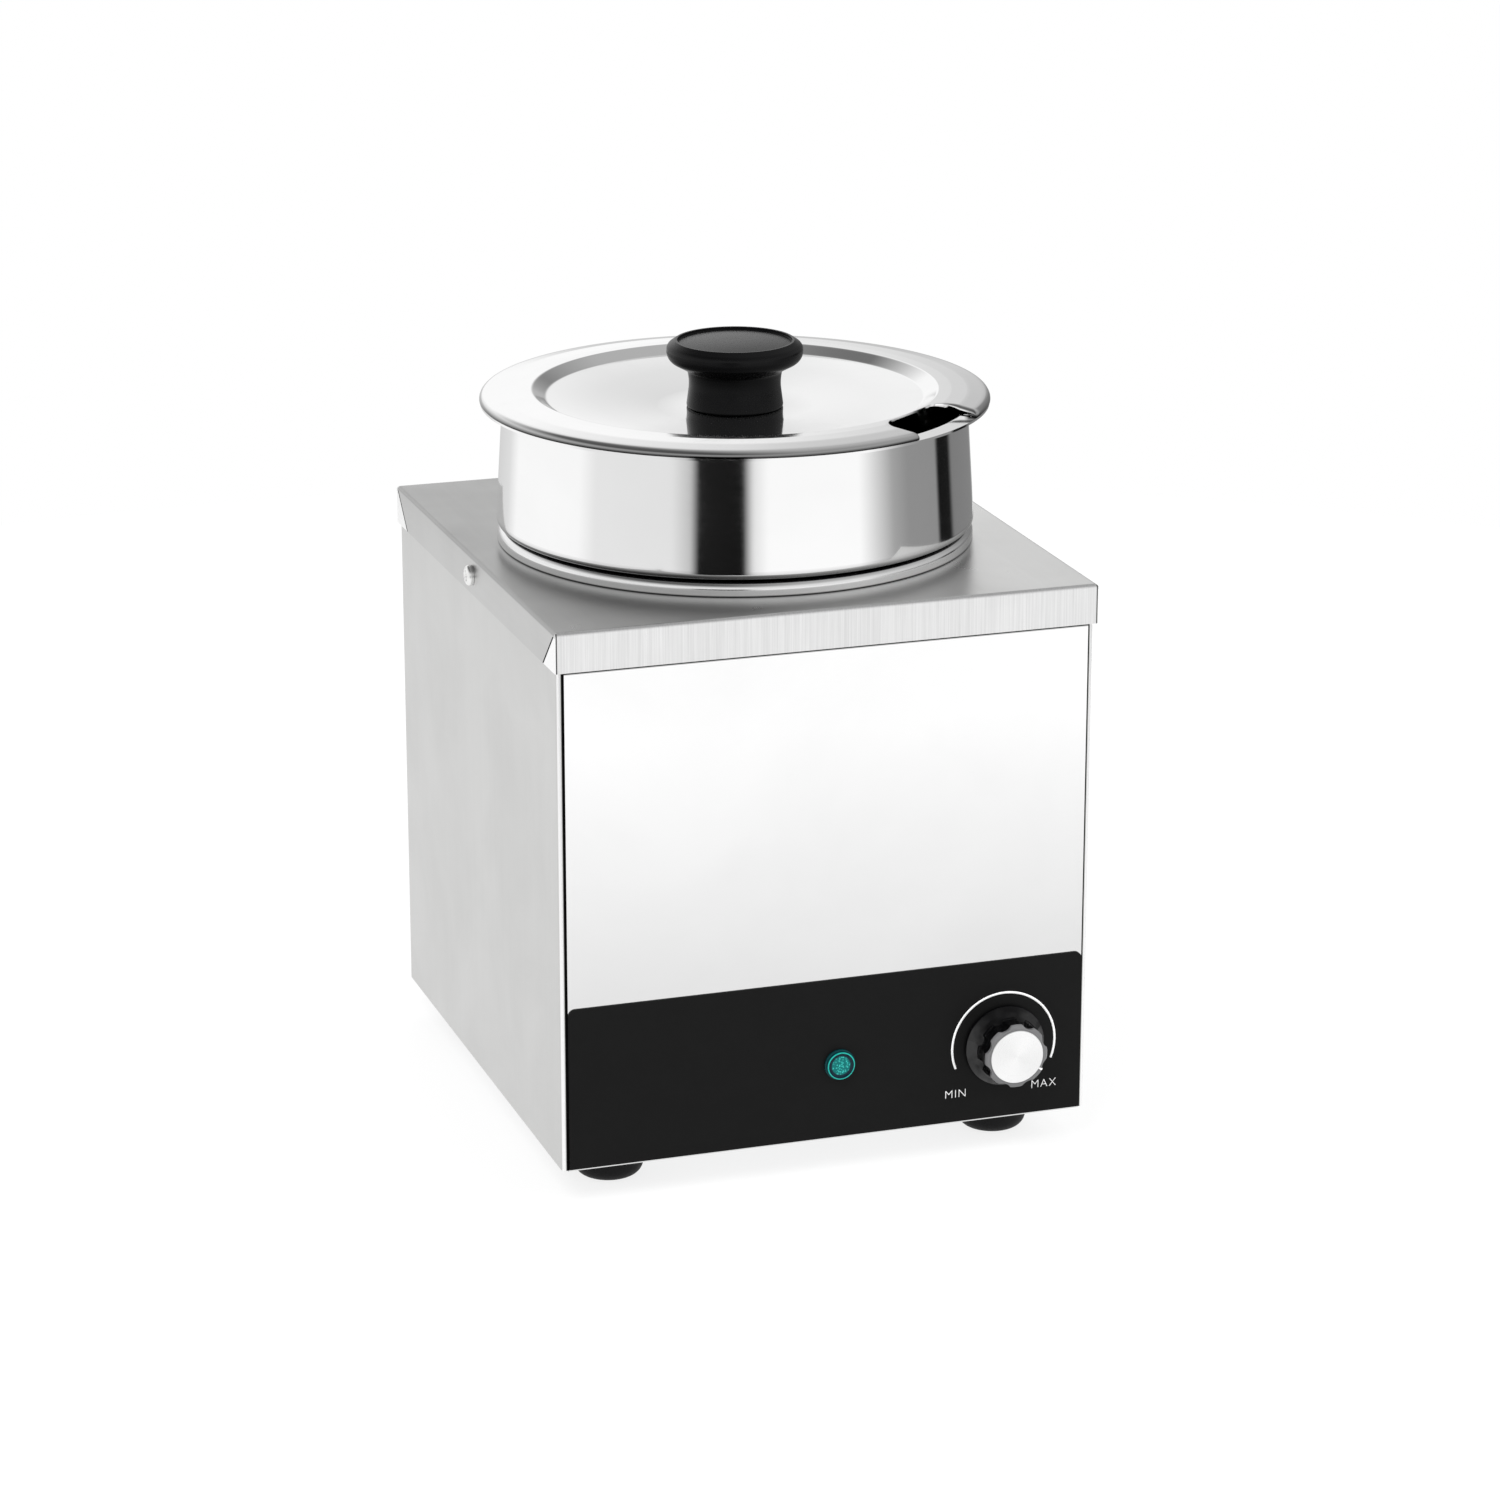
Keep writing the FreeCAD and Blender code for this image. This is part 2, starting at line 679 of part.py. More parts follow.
def safety_cutout():
    """Round thermal switch on the heat plate, with two blades."""
    low = heat_plate_under - cutout_height
    body = cylinder(cutout_radius, V(0, cutout_y, heat_plate_under - cutout_flange), cutout_flange, UP)
    body = body.fuse(cylinder(cutout_body_radius, V(0, cutout_y, low), cutout_height - cutout_flange, UP))
    for x in (-cutout_blade_x, cutout_blade_x):
        blade = box(x - blade_thickness / 2, x + blade_thickness / 2, cutout_y - blade_width / 2,
                    cutout_y + blade_width / 2, low - blade_length, low)
        body = body.fuse(blade)
    return body


def thermostat_screw_xs():
    """Places of the thermostat's screws either side of the shaft."""
    return (knob_x - thermostat_screw_pitch / 2, knob_x + thermostat_screw_pitch / 2)


def countersunk(x, room):
    """Countersunk screw from the face of the front panel into the thermostat, with room round it."""
    start = V(x, panel_front, control_z)
    head = Part.makeCone(thermostat_screw_head + room, thermostat_screw_radius + room, sheet, start, BACK)
    length = sheet + thermostat_plate
    return head.fuse(cylinder(thermostat_screw_radius + room, start, length, BACK)).removeSplitter()


def thermostat_screws():
    """Two countersunk screws that hold the thermostat to the front panel."""
    return [countersunk(x, 0) for x in thermostat_screw_xs()]


def thermostat_rear():
    """Y of the thermostat's rear face."""
    return wall_front + thermostat_plate + thermostat_body_depth


def thermostat_blades():
    """Centres of the thermostat's three blades on its rear face: supply, element and lamp."""
    low = control_z - thermostat_body_height / 4
    return {"supply": (knob_x - thermostat_body_width / 4, low),
            "element": (knob_x + thermostat_body_width / 4, low),
            "lamp": (knob_x, low - thermostat_body_height / 5)}


def thermostat_body():
    """Capillary thermostat: plate on the panel, moulded body, bushing and rear blades."""
    half = thermostat_width / 2
    tall = thermostat_height / 2
    plate_back = wall_front + thermostat_plate
    body = box(knob_x - half, knob_x + half, wall_front, plate_back, control_z - tall, control_z + tall)
    half = thermostat_body_width / 2
    tall = thermostat_body_height / 2
    rear = thermostat_rear()
    body = body.fuse(box(knob_x - half, knob_x + half, plate_back, rear, control_z - tall, control_z + tall))
    nose = fascia_front - bushing_rise
    body = body.fuse(cylinder(bushing_radius, V(knob_x, nose, control_z), wall_front - nose, BACK))
    for x, z in thermostat_blades().values():
        body = body.fuse(box(x - blade_width / 2, x + blade_width / 2, rear, rear + blade_length,
                             z - blade_thickness / 2, z + blade_thickness / 2))
    length = wall_front - nose + shaft_in_body
    body = body.cut(cylinder(shaft_radius + shaft_gap, V(knob_x, nose, control_z), length, BACK))
    for x in thermostat_screw_xs():
        start = V(x, wall_front, control_z)
        body = body.cut(cylinder(thermostat_screw_radius, start, thermostat_plate, BACK))
    return body


def shaft_bar(room):
    """Shaft with a flat on its outer end, or with room round it the hole that takes it."""
    inner_end = wall_front + shaft_in_body - shaft_gap
    outer_end = knob_back - shaft_in_knob
    bar = cylinder(shaft_radius + room, V(knob_x, inner_end, control_z), inner_end - outer_end + room, FRONT)
    flat_start = fascia_front - bushing_rise - knob_gap
    flat = box(knob_x - 2 * shaft_radius, knob_x + 2 * shaft_radius, outer_end - shaft_radius, flat_start,
               control_z + shaft_flat + room, control_z + 2 * shaft_radius)
    return bar.cut(flat)


def sensor_point():
    """Centre of the bulb beside the well, as x and y."""
    reach = well_radius + well_sheet + bulb_gap + bulb_radius
    turn = math.radians(bulb_angle)
    return reach * math.cos(turn), reach * math.sin(turn)


def thermostat_sensor():
    """Bulb beside the well and the thin tube that joins it to the thermostat."""
    x, y = sensor_point()
    low = well_floor + bulb_lift
    bulb = cylinder(bulb_radius, V(x, y, low), bulb_length, UP)
    entry_z = control_z + capillary_rise
    line = tube([(x, y, low), (x, y, entry_z), (x, thermostat_rear(), entry_z)],
                capillary_radius, capillary_bend)
    return bulb.fuse(line)


def bulb_clip():
    """Strap that holds the bulb to the well, with an ear each side."""
    reach = well_radius + well_sheet + bulb_gap + bulb_radius
    outer = bulb_radius + bulb_gap + clip_sheet
    low = well_floor + bulb_lift + bulb_length / 2 - clip_height / 2
    strap = cylinder(outer, V(reach, 0, low), clip_height, UP)
    wall = well_radius + well_sheet
    strap = strap.fuse(box(wall - bulb_radius, wall + clip_sheet, -outer - clip_ear, outer + clip_ear,
                           low, low + clip_height))
    strap = strap.cut(cylinder(wall, V(0, 0, low), clip_height, UP))
    strap = strap.cut(cylinder(bulb_radius + bulb_gap / 2, V(reach, 0, low), clip_height, UP))
    largest = max(strap.Solids, key=lambda solid: solid.Volume)
    largest.rotate(V(0, 0, 0), UP, bulb_angle)
    return largest


def lamp_lens():
    """Domed lens with a flange that lies on the fascia."""
    outline = [(0, 0), (lens_radius, 0), (lens_radius, lens_flange), (lens_dome_radius, lens_flange),
               (lens_dome_radius, lens_flange + lens_dome_rise), (0, lens_flange + lens_dome_rise)]
    shape = turned_outline(outline, [lens_edge, lens_edge, lens_edge, lens_dome_round])
    return along_front(shape, lamp_x, fascia_front, control_z)


def lamp_body():
    """Holder behind the lens, with two blades."""
    body = cylinder(lamp_body_radius, V(lamp_x, fascia_front, control_z), lamp_body_length, BACK)
    end = fascia_front + lamp_body_length
    for side in (-1, 1):
        x = lamp_x + side * lamp_blade_x
        body = body.fuse(box(x - blade_thickness / 2, x + blade_thickness / 2, end, end + blade_length,
                             control_z - lamp_blade_width / 2, control_z + lamp_blade_width / 2))
    return body


def lamp_clip():
    """Push-on ring that holds the lamp behind the front panel."""
    start = V(lamp_x, wall_front, control_z)
    return ring(lamp_clip_radius, lamp_body_radius, start, lamp_clip_sheet, BACK)


def control_knob():
    """Moulded knob: wide skirt, fluted grip, hollow back and a hub on the shaft."""
    outline = [(0, 0), (knob_skirt_radius, 0), (knob_skirt_radius, knob_skirt_rim),
               (knob_neck_radius, knob_cone_height), (knob_grip_radius, knob_height),
               (0, knob_height)]
    shape = turned_outline(outline, [knob_skirt_edge, knob_skirt_edge, knob_neck_round, knob_chamfer])
    reach = knob_grip_radius + flute_radius - flute_depth
    for i in range(knob_flutes):
        turn = math.radians((i + 0.5) * 360 / knob_flutes)
        start = V(reach * math.cos(turn), reach * math.sin(turn), knob_cone_height)
        shape = shape.cut(cylinder(flute_radius, start, knob_height, UP))
    shape = shape.cut(cylinder(knob_cap_radius, V(0, 0, knob_height - knob_cap_seat), 2 * knob_cap_seat, UP))
    hollow_depth = knob_height - knob_cap_seat - knob_wall
    hollow_radius = knob_grip_radius - flute_depth - knob_wall
    hollow = ring(hollow_radius, knob_hub_radius, V(0, 0, 0), hollow_depth, UP)
    shape = shape.cut(hollow)
    shape = shape.cut(cylinder(bushing_radius + knob_gap, V(0, 0, 0), bushing_rise, UP))
    shape = along_front(shape, knob_x, knob_back, control_z)
    return shape.cut(shaft_bar(shaft_gap))


def knob_cap():
    """Bright disc let into the face of the knob."""
    outline = [(0, 0), (knob_cap_radius, 0), (knob_cap_radius, knob_cap_seat + knob_cap_rise),
               (0, knob_cap_seat + knob_cap_rise)]
    shape = turned_outline(outline, [knob_cap_edge, knob_cap_edge])
    return along_front(shape, knob_x, knob_front + knob_cap_seat, control_z)


def block_pole_ys():
    """Y of each pole of the terminal block, from front to back."""
    return [block_y + (i - (block_poles - 1) / 2) * block_pitch for i in range(block_poles)]


def block_screw_places():
    """Centres of the two screws of the terminal block, between its outer poles."""
    ys = block_pole_ys()
    return [(block_x, (ys[0] + ys[1]) / 2), (block_x, (ys[-1] + ys[-2]) / 2)]


def terminal_block():
    """Stepped block with a wire hole through each pole and a clamp screw hole over it."""
    ys = block_pole_ys()
    half = block_width / 2
    top = casing_z + block_height
    body = box(block_x - half, block_x + half, ys[0] - block_end, ys[-1] + block_end, casing_z, top)
    for side in (-1, 1):
        x0, x1 = sorted((block_x + side * half, block_x + side * half / 2))
        body = body.cut(box(x0, x1, ys[0] - block_end, ys[-1] + block_end, top - block_step, top))
    for y in ys:
        start = V(block_x - half, y, wire_entry_z)
        body = body.cut(cylinder(block_bore, start, block_width, RIGHT))
    for x, y in block_screw_places():
        body = body.cut(cylinder(block_screw_radius, V(x, y, casing_z), block_height, UP))
        body = body.cut(cylinder(block_screw_head + hole_gap, V(x, y, top - block_step), block_step, UP))
    return body


def block_screws():
    """Screws that hold the terminal block on the base plate."""
    seat = casing_z + block_height - block_step
    length = seat - base_z
    return [pan_screw(block_screw_head, head_rise * block_screw_head, block_screw_radius, length,
                      V(x, y, seat), UP) for x, y in block_screw_places()]


def earth_stud():
    """Threaded stud in the base plate."""
    return cylinder(earth_stud_radius, V(earth_x, earth_y, base_z), base_sheet + earth_stud_height, UP)


def earth_tag():
    """Ring tag on the earth stud, with a tail towards the front for the wire."""
    start = V(earth_x, earth_y, casing_z)
    tag = cylinder(earth_eye_radius, start, earth_tag_sheet, UP)
    tag = tag.fuse(box(earth_x - wire_radius, earth_x + wire_radius, earth_y - earth_tag_length, earth_y,
                       casing_z, casing_z + earth_tag_sheet))
    barrel = V(earth_x, earth_y - earth_tag_length, earth_wire_z)
    tag = tag.fuse(cylinder(earth_barrel_radius, barrel, earth_barrel_length, BACK))
    return tag.cut(cylinder(earth_stud_radius, start, earth_tag_sheet, UP))


def earth_nut():
    """Nut that holds the earth tag down."""
    start = V(earth_x, earth_y, casing_z + earth_tag_sheet)
    body = hexagon(nut_corner * earth_stud_radius, start, nut_height, UP)
    return body.cut(cylinder(earth_stud_radius, start, nut_height, UP))


def gland_axis(y):
    """Point on the axis of the cable gland."""
    return V(gland_x, y, casing_z + gland_height)


def gland_body():
    """Threaded gland body: hexagon on the back wall, thread through it and a spigot for the nut."""
    inner = wall_back - sheet - gland_inside
    outer = wall_back + gland_hex_length
    body = hexagon(gland_hex, gland_axis(wall_back), gland_hex_length, BACK)
    body = body.fuse(cylinder(gland_thread_radius, gland_axis(inner), wall_back - inner, BACK))
    spigot = gland_nut_length - gland_nut_taper
    body = body.fuse(cylinder(gland_thread_radius, gland_axis(outer), spigot, BACK))
    return body.cut(cylinder(gland_bore, gland_axis(inner), outer + spigot - inner, BACK))


def gland_nut():
    """Domed nut over the spigot, with a rounded nose round the cable's mouth."""
    outer = wall_back + gland_hex_length
    mouth = gland_bore + gland_mouth_rim
    nose = gland_nut_length - gland_nut_taper
    outline = [(0, 0), (gland_nut_radius, 0), (gland_nut_radius, nose), (mouth, gland_nut_length),
               (0, gland_nut_length)]
    shape = turned_outline(outline, [gland_nut_edge, gland_nose_round, gland_mouth_round])
    shape.rotate(V(0, 0, 0), RIGHT, -90)
    shape.translate(gland_axis(outer))
    shape = shape.cut(cylinder(gland_thread_radius, gland_axis(outer), nose, BACK))
    return shape.cut(cylinder(gland_bore, gland_axis(outer), gland_nut_length, BACK))


def gland_locknut():
    """Hexagon nut on the gland's thread inside the back wall."""
    start = gland_axis(wall_back - sheet - gland_locknut_height)
    body = hexagon(gland_hex, start, gland_locknut_height, BACK)
    return body.cut(cylinder(gland_thread_radius, start, gland_locknut_height, BACK))


def wires():
    """Insulated wires between the terminals, as name and points."""
    blades = thermostat_blades()
    blade_y = thermostat_rear() + blade_length
    cutout_z = heat_plate_under - cutout_height - blade_length
    pin_y = element_leg_end + element_pin_length
    pin_z = heat_plate_under
    behind = pin_y + wire_run + 4 * wire_radius
    lamp_y = fascia_front + lamp_body_length + blade_length
    entry_x = block_x + block_width / 2
    live, lamp_pole, neutral, earth = block_pole_ys()
    ahead = blade_y + 2 * wire_run
    supply_x = entry_x + 3 * wire_run
    return_x = entry_x + wire_run + 2 * wire_radius
    lamp_left = lamp_x - lamp_blade_x
    lamp_right = lamp_x + lamp_blade_x
    return_y = lamp_y + wire_run + 2 * wire_radius
    feed_y = return_y + wire_run
    supply, element, lamp = blades["supply"], blades["element"], blades["lamp"]
    return {
        "wire_supply": [
            (entry_x, live, wire_entry_z), (supply_x, live, wire_entry_z),
            (supply_x, ahead, wire_entry_z), (supply[0], ahead, wire_entry_z),
            (supply[0], ahead, supply[1]), (supply[0], blade_y, supply[1])],
        "wire_switched": [
            (element[0], blade_y, element[1]), (element[0], cutout_y, element[1]),
            (element[0], cutout_y, wire_low), (cutout_blade_x, cutout_y, wire_low),
            (cutout_blade_x, cutout_y, cutout_z)],
        "wire_element": [
            (-cutout_blade_x, cutout_y, cutout_z), (-cutout_blade_x, cutout_y, wire_low),
            (-element_leg_x, behind, wire_low), (-element_leg_x, behind, pin_z),
            (-element_leg_x, pin_y, pin_z)],
        "wire_neutral": [
            (element_leg_x, pin_y, pin_z), (element_leg_x, behind, pin_z),
            (element_leg_x, behind, wire_entry_z), (element_leg_x, neutral, wire_entry_z),
            (entry_x, neutral, wire_entry_z)],
        "wire_lamp_feed": [
            (lamp_right, lamp_y, control_z), (lamp_right, feed_y, control_z),
            (lamp_right, feed_y, lamp[1]), (lamp[0], feed_y, lamp[1]),
            (lamp[0], blade_y, lamp[1])],
        "wire_lamp_return": [
            (lamp_left, lamp_y, control_z), (lamp_left, return_y, control_z),
            (lamp_left, return_y, wire_high),
            (return_x, return_y, wire_high), (return_x, lamp_pole, wire_high),
            (entry_x, lamp_pole, wire_entry_z)],
        "wire_earth": [
            (entry_x, earth, wire_entry_z), (earth_x, earth, wire_entry_z),
            (earth_x, earth, earth_wire_z), (earth_x, earth_y - earth_tag_length, earth_wire_z)],
    }


def soup_pot():
    """Deep pot with a flared band over the well's ring and a flat rim."""
    rim_under = pot_rim - pot_sheet
    outline = [(pot_flange_radius, rim_under), (band_top_radius, rim_under), (band_radius, shoulder_z),
               (pot_radius, shoulder_z), (pot_radius, pot_under), (0, pot_under)]
    radii = [rim_round, shoulder_round, shoulder_inner_round, pot_floor_round]
    return turned(sheet_face(outline, radii, -pot_sheet))


def lid_outline():
    """Upper face of the lid from its edge to the axis, and the radii of its corners."""
    points = [(lid_radius, lid_edge_z), (lid_radius, lid_edge_z + lid_skirt), (lid_crest_radius, lid_crest_z),
              (recess_radius, lid_crest_z), (recess_floor_radius, recess_z), (knob_seat_radius, knob_seat_z),
              (0, knob_seat_z)]
    return points, [lid_edge_round, lid_crest_round, recess_round, recess_round, dish_round]


def notch(offset):
    """Upright prism of the ladle notch, grown by an offset, at its angle."""
    half = notch_width / 2 + offset
    inner = notch_inner - offset
    outer = lid_radius + notch_width
    height = lid_crest_z - knob_seat_z
    prism = box(inner, outer, -half, half, knob_seat_z, lid_crest_z + height)
    corners = [edge for edge in prism.Edges if abs(edge.tangentAt(0).z) > 0.9
               and edge.CenterOfMass.x < lid_radius]
    prism = prism.makeFillet(notch_round + offset, corners)
    prism.rotate(V(0, 0, 0), UP, notch_angle)
    return prism


def lid():
    """Pressed lid with a recessed dish, a ladle notch with turned-down sides and a screw hole."""
    points, radii = lid_outline()
    shell = turned(sheet_face(points, radii, lid_sheet))
    lip = notch(lid_sheet).cut(notch(0)).common(brim_space())
    plain = cylinder(notch_inner + notch_round / 2, V(0, 0, knob_seat_z), lid_crest_z - knob_seat_z, UP)
    lip = lip.cut(plain)
    shell = shell.cut(notch(0)).fuse(lip).removeSplitter()
    start = V(0, 0, knob_seat_z - 2 * lid_sheet)
    return shell.cut(cylinder(lid_screw_radius + hole_gap, start, 3 * lid_sheet, UP))


def brim_space():
    """Round space between the lid's brim and the level of its lower edge."""
    points, radii = lid_outline()
    inner = recess_radius - 2 * recess_round
    brim = points[:3] + [(inner, lid_crest_z)]
    edges = rounded_path([V(r, z, 0) for r, z in brim], radii[:2])
    edges.append(Part.LineSegment(V(inner, lid_crest_z, 0), V(inner, lid_edge_z, 0)).toShape())
    edges.append(Part.LineSegment(V(inner, lid_edge_z, 0), V(lid_radius, lid_edge_z, 0)).toShape())
    return turned(Part.Face(Part.Wire(Part.__sortEdges__(edges))))


def lid_knob():
    """Mushroom knob with a waisted neck, a sunk top face and a hole for its screw."""
    sunk = lid_knob_height - lid_knob_face_sink
    outline = [(0, 0), (lid_knob_foot, 0), (lid_knob_waist, lid_knob_waist_height),
               (lid_knob_neck, lid_knob_neck_height), (lid_knob_top_radius, lid_knob_under_height),
               (lid_knob_top_radius, lid_knob_rim_height), (lid_knob_crown_radius, lid_knob_height),
               (lid_knob_face_radius, lid_knob_height), (lid_knob_face_radius, sunk), (0, sunk)]
    radii = [lid_knob_foot_round, lid_knob_waist_round, lid_knob_neck_round, lid_knob_under_round,
             lid_knob_edge, lid_knob_crown_round, lid_knob_face_round, lid_knob_face_round]
    shape = turned_outline(outline, radii)
    shape = shape.cut(cylinder(lid_screw_radius, V(0, 0, 0), lid_screw_length, UP))
    return placed(shape, 0, 0, knob_seat_z)


def lid_knob_washer():
    """Flat washer under the lid."""
    start = V(0, 0, knob_seat_z - lid_sheet - lid_washer_sheet)
    return ring(lid_washer_radius, lid_screw_radius + hole_gap, start, lid_washer_sheet, UP)


def lid_knob_screw():
    """Screw from under the lid into the knob."""
    seat = V(0, 0, knob_seat_z - lid_sheet - lid_washer_sheet)
    length = lid_screw_length + lid_sheet + lid_washer_sheet
    return pan_screw(lid_screw_head, lid_screw_head_height, lid_screw_radius, length, seat, DOWN)


def group(shape, places):
    """Copies of a shape at several places on the base."""
    return [placed(shape, x, y, 0) for x, y in places]


def save(name, solids):
    """Writes one node, moved so that the origin lies under the middle of the whole object."""
    shapes = solids if isinstance(solids, list) else [solids]
    moved = [placed(shape, 0, casing_y, 0) for shape in shapes]
    whole = moved[0] if len(moved) == 1 else Part.makeCompound(moved)
    whole.exportStep("parts/%s.step" % name)


os.makedirs("parts", exist_ok=True)

nodes = {
    "casing_wrapper": casing_wrapper(),
    "front_panel": front_panel(),
    "control_fascia": control_fascia(),
    "top_cover": top_cover(),
    "cover_screws": cover_screws(),
    "base_plate": base_plate(),
    "base_screws": group(base_screw(), base_screw_places()),
    "feet": group(foot(), foot_places),
    "foot_screws": group(foot_screw(), foot_places),
    "foot_nuts": group(foot_nut(), foot_places),
    "heating_well": heating_well(),
    "heat_plate": heat_plate(),
    "heating_element": heating_element(),
    "element_clamp": element_clamp(),
    "clamp_nut": clamp_nut(),
    "safety_cutout": safety_cutout(),
    "thermostat_body": thermostat_body(),
    "thermostat_screws": thermostat_screws(),
    "thermostat_sensor": thermostat_sensor(),
    "bulb_clip": bulb_clip(),
    "thermostat_shaft": shaft_bar(0),
    "control_knob": control_knob(),
    "knob_cap": knob_cap(),
    "lamp_lens": lamp_lens(),
    "lamp_body": lamp_body(),
    "lamp_clip": lamp_clip(),
    "terminal_block": terminal_block(),
    "block_screws": block_screws(),
    "earth_stud": earth_stud(),
    "earth_tag": earth_tag(),
    "earth_nut": earth_nut(),
    "gland_body": gland_body(),
    "gland_nut": gland_nut(),
    "gland_locknut": gland_locknut(),
    "soup_pot": soup_pot(),
    "lid": lid(),
    "lid_knob": lid_knob(),
    "lid_knob_washer": lid_knob_washer(),
    "lid_knob_screw": lid_knob_screw(),
}
for wire_name, route in wires().items():
    nodes[wire_name] = tube(route, wire_radius, wire_bend)

for node_name, node in nodes.items():
    save(node_name, node)
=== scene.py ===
"""Looks of an electric soup kettle, dressed on its packed construction.

Lengths are in millimetres until a mesh is finished; the finished meshes are in metres, in the part's own frame.
"""
import logging
import math
from dataclasses import dataclass, field
from enum import Enum
from typing import Any, Callable, ClassVar, Iterable, Optional, Sequence

import bmesh
import bpy
from bmesh.types import BMesh, BMVert
from bpy.types import Material, Mesh, Node, NodeSocket, NodeTree, Object
from mathutils import Matrix, Vector


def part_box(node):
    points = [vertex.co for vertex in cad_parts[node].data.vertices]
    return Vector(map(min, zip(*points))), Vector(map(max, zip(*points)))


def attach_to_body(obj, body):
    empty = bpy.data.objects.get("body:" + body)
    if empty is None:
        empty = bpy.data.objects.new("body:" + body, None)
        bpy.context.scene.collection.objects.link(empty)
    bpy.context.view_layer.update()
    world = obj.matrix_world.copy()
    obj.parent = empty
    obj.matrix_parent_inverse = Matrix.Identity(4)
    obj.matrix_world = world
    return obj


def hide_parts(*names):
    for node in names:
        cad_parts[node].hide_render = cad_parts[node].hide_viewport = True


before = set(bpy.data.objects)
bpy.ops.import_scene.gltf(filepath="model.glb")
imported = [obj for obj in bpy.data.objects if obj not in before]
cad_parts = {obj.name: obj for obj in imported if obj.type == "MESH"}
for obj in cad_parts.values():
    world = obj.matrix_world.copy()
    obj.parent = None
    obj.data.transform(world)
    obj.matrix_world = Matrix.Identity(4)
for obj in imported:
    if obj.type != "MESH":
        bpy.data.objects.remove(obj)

LOG = logging.getLogger("soup_kettle")
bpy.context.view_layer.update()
MM = 0.001
NEAR, TINY, MERGE, CREASE = 1e-6, 1e-5, 2e-4, 32.0
Pair = tuple[float, float]
Triple = tuple[float, float, float]
Colour = tuple[float, float, float, float]
Range = tuple[Optional[float], Optional[float]]
Sway = Callable[[float, float, float], float]
Surface = tuple[dict[str, Any], NodeSocket]
BLACK: Colour = (0.0, 0.0, 0.0, 1.0)
WHITE: Colour = (1.0, 1.0, 1.0, 1.0)
ROUND_Y: Triple = (1.0, 0.0, 1.0)
ROUND_Z: Triple = (1.0, 1.0, 0.0)


class Body(Enum):
    """The bodies that the pieces ride on."""

    CASING = "casing"
    POT = "pot"
    LID = "lid"
    KNOB = "knob"


class Axis(Enum):
    """The way that a piece points."""

    UP = (0.0, 0.0, 1.0)
    DOWN = (0.0, 0.0, -1.0)
    FRONT = (0.0, -1.0, 0.0)
    BACK = (0.0, 1.0, 0.0)
    LEFT = (-1.0, 0.0, 0.0)
    RIGHT = (1.0, 0.0, 0.0)


def shade(*screen: int) -> Colour:
    """Turns screen values from 0 to 255, or one grey, into a linear colour."""
    linear = [((v / 255 + 0.055) / 1.055) ** 2.4 if v > 10 else v / 255 / 12.92 for v in screen]
    return (*(linear * 3)[:3], 1.0)


def grey(level: float) -> Colour:
    """Gives a linear grey."""
    return (level, level, level, 1.0)


@dataclass(frozen=True)
class NodeBox:
    """Corners of a construction node at rest, in millimetres."""

    low: Vector
    high: Vector

    @classmethod
    def of(cls, node: str) -> "NodeBox":
        """Reads the box of one node."""
        low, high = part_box(node)
        return cls(low / MM, high / MM)

    @property
    def middle(self) -> Vector:
        """Centre of the box."""
        return (self.low + self.high) / 2


# ---------------------------------------------------------------- profiles and meshes


@dataclass(frozen=True)
class Station:
    """A point of a profile and the way the profile runs there."""

    r: float
    h: float
    run: Pair

    def beside(self, distance: float) -> Pair:
        """Gives the point at a distance to the left of the profile."""
        return (self.r - self.run[1] * distance, self.h + self.run[0] * distance)


def straight(start: Vector, end: Vector, guard: float) -> list[Station]:
    """Lists the stations of a straight run, with one close to each end to keep its shading flat.

    Args:
        start: First point.
        end: Last point.
        guard: Distance of the inner stations from the ends.

    Returns:
        Two or four stations, or none where the run has no length.
    """
    length = (end - start).length
    if length < NEAR:
        return []
    run = (end - start) / length
    stops = [0.0, guard, length - guard, length] if length > 4 * guard else [0.0, length]
    return [Station(*(start + run * stop), (run.x, run.y)) for stop in stops]


def rounded(points: Sequence[Pair], radii: Sequence[float], turn: float = 7.5, guard: float = 0.5) -> list[Station]:
    """Follows straight runs with a tangent arc at each inner corner.

    Args:
        points: Corners of the path as (radius, height).
        radii: Radius of the arc at each inner corner.
        turn: Largest step along an arc, in degrees.
        guard: Distance of the support stations from the ends of a run.

    Returns:
        The stations along the path.
    """
    stations: list[Station] = []
    start = Vector(points[0])
    for before, at, after, radius in zip(points, points[1:], points[2:], radii):
        corner = Vector(at)
        back = (Vector(before) - corner).normalized()
        ahead = (Vector(after) - corner).normalized()
        half = math.acos(max(-1.0, min(1.0, back.dot(ahead)))) / 2
        first = corner + back * (radius / math.tan(half))
        centre = corner + (back + ahead).normalized() * (radius / math.sin(half))
        sweep = math.pi - 2 * half
        way = 1 if ahead.x * back.y - ahead.y * back.x > 0 else -1
        stations += straight(start, first, guard)
        count = max(2, math.ceil(math.degrees(sweep) / turn))
        for step in range(1, count):
            swing = Matrix.Rotation(way * sweep * step / count, 2)
            spot = centre + swing @ (first - centre)
            run = swing @ -back
            stations.append(Station(spot.x, spot.y, (run.x, run.y)))
        start = corner + ahead * (radius / math.tan(half))
    return stations + straight(start, Vector(points[-1]), guard)


def outline(stations: Iterable[Station]) -> list[Pair]:
    """Gives the bare points of a profile."""
    return [(s.r, s.h) for s in stations]


def stand(origin: Sequence[float] = (0, 0, 0), axis: Axis = Axis.UP) -> Matrix:
    """Gives the place of a piece drawn along +Z, whose +Z then points up, to the front or to the back."""
    turn = Matrix.Rotation(-axis.value[1] * math.pi / 2, 4, "X")
    return Matrix.Scale(MM, 4) @ Matrix.Translation(Vector(origin)) @ turn


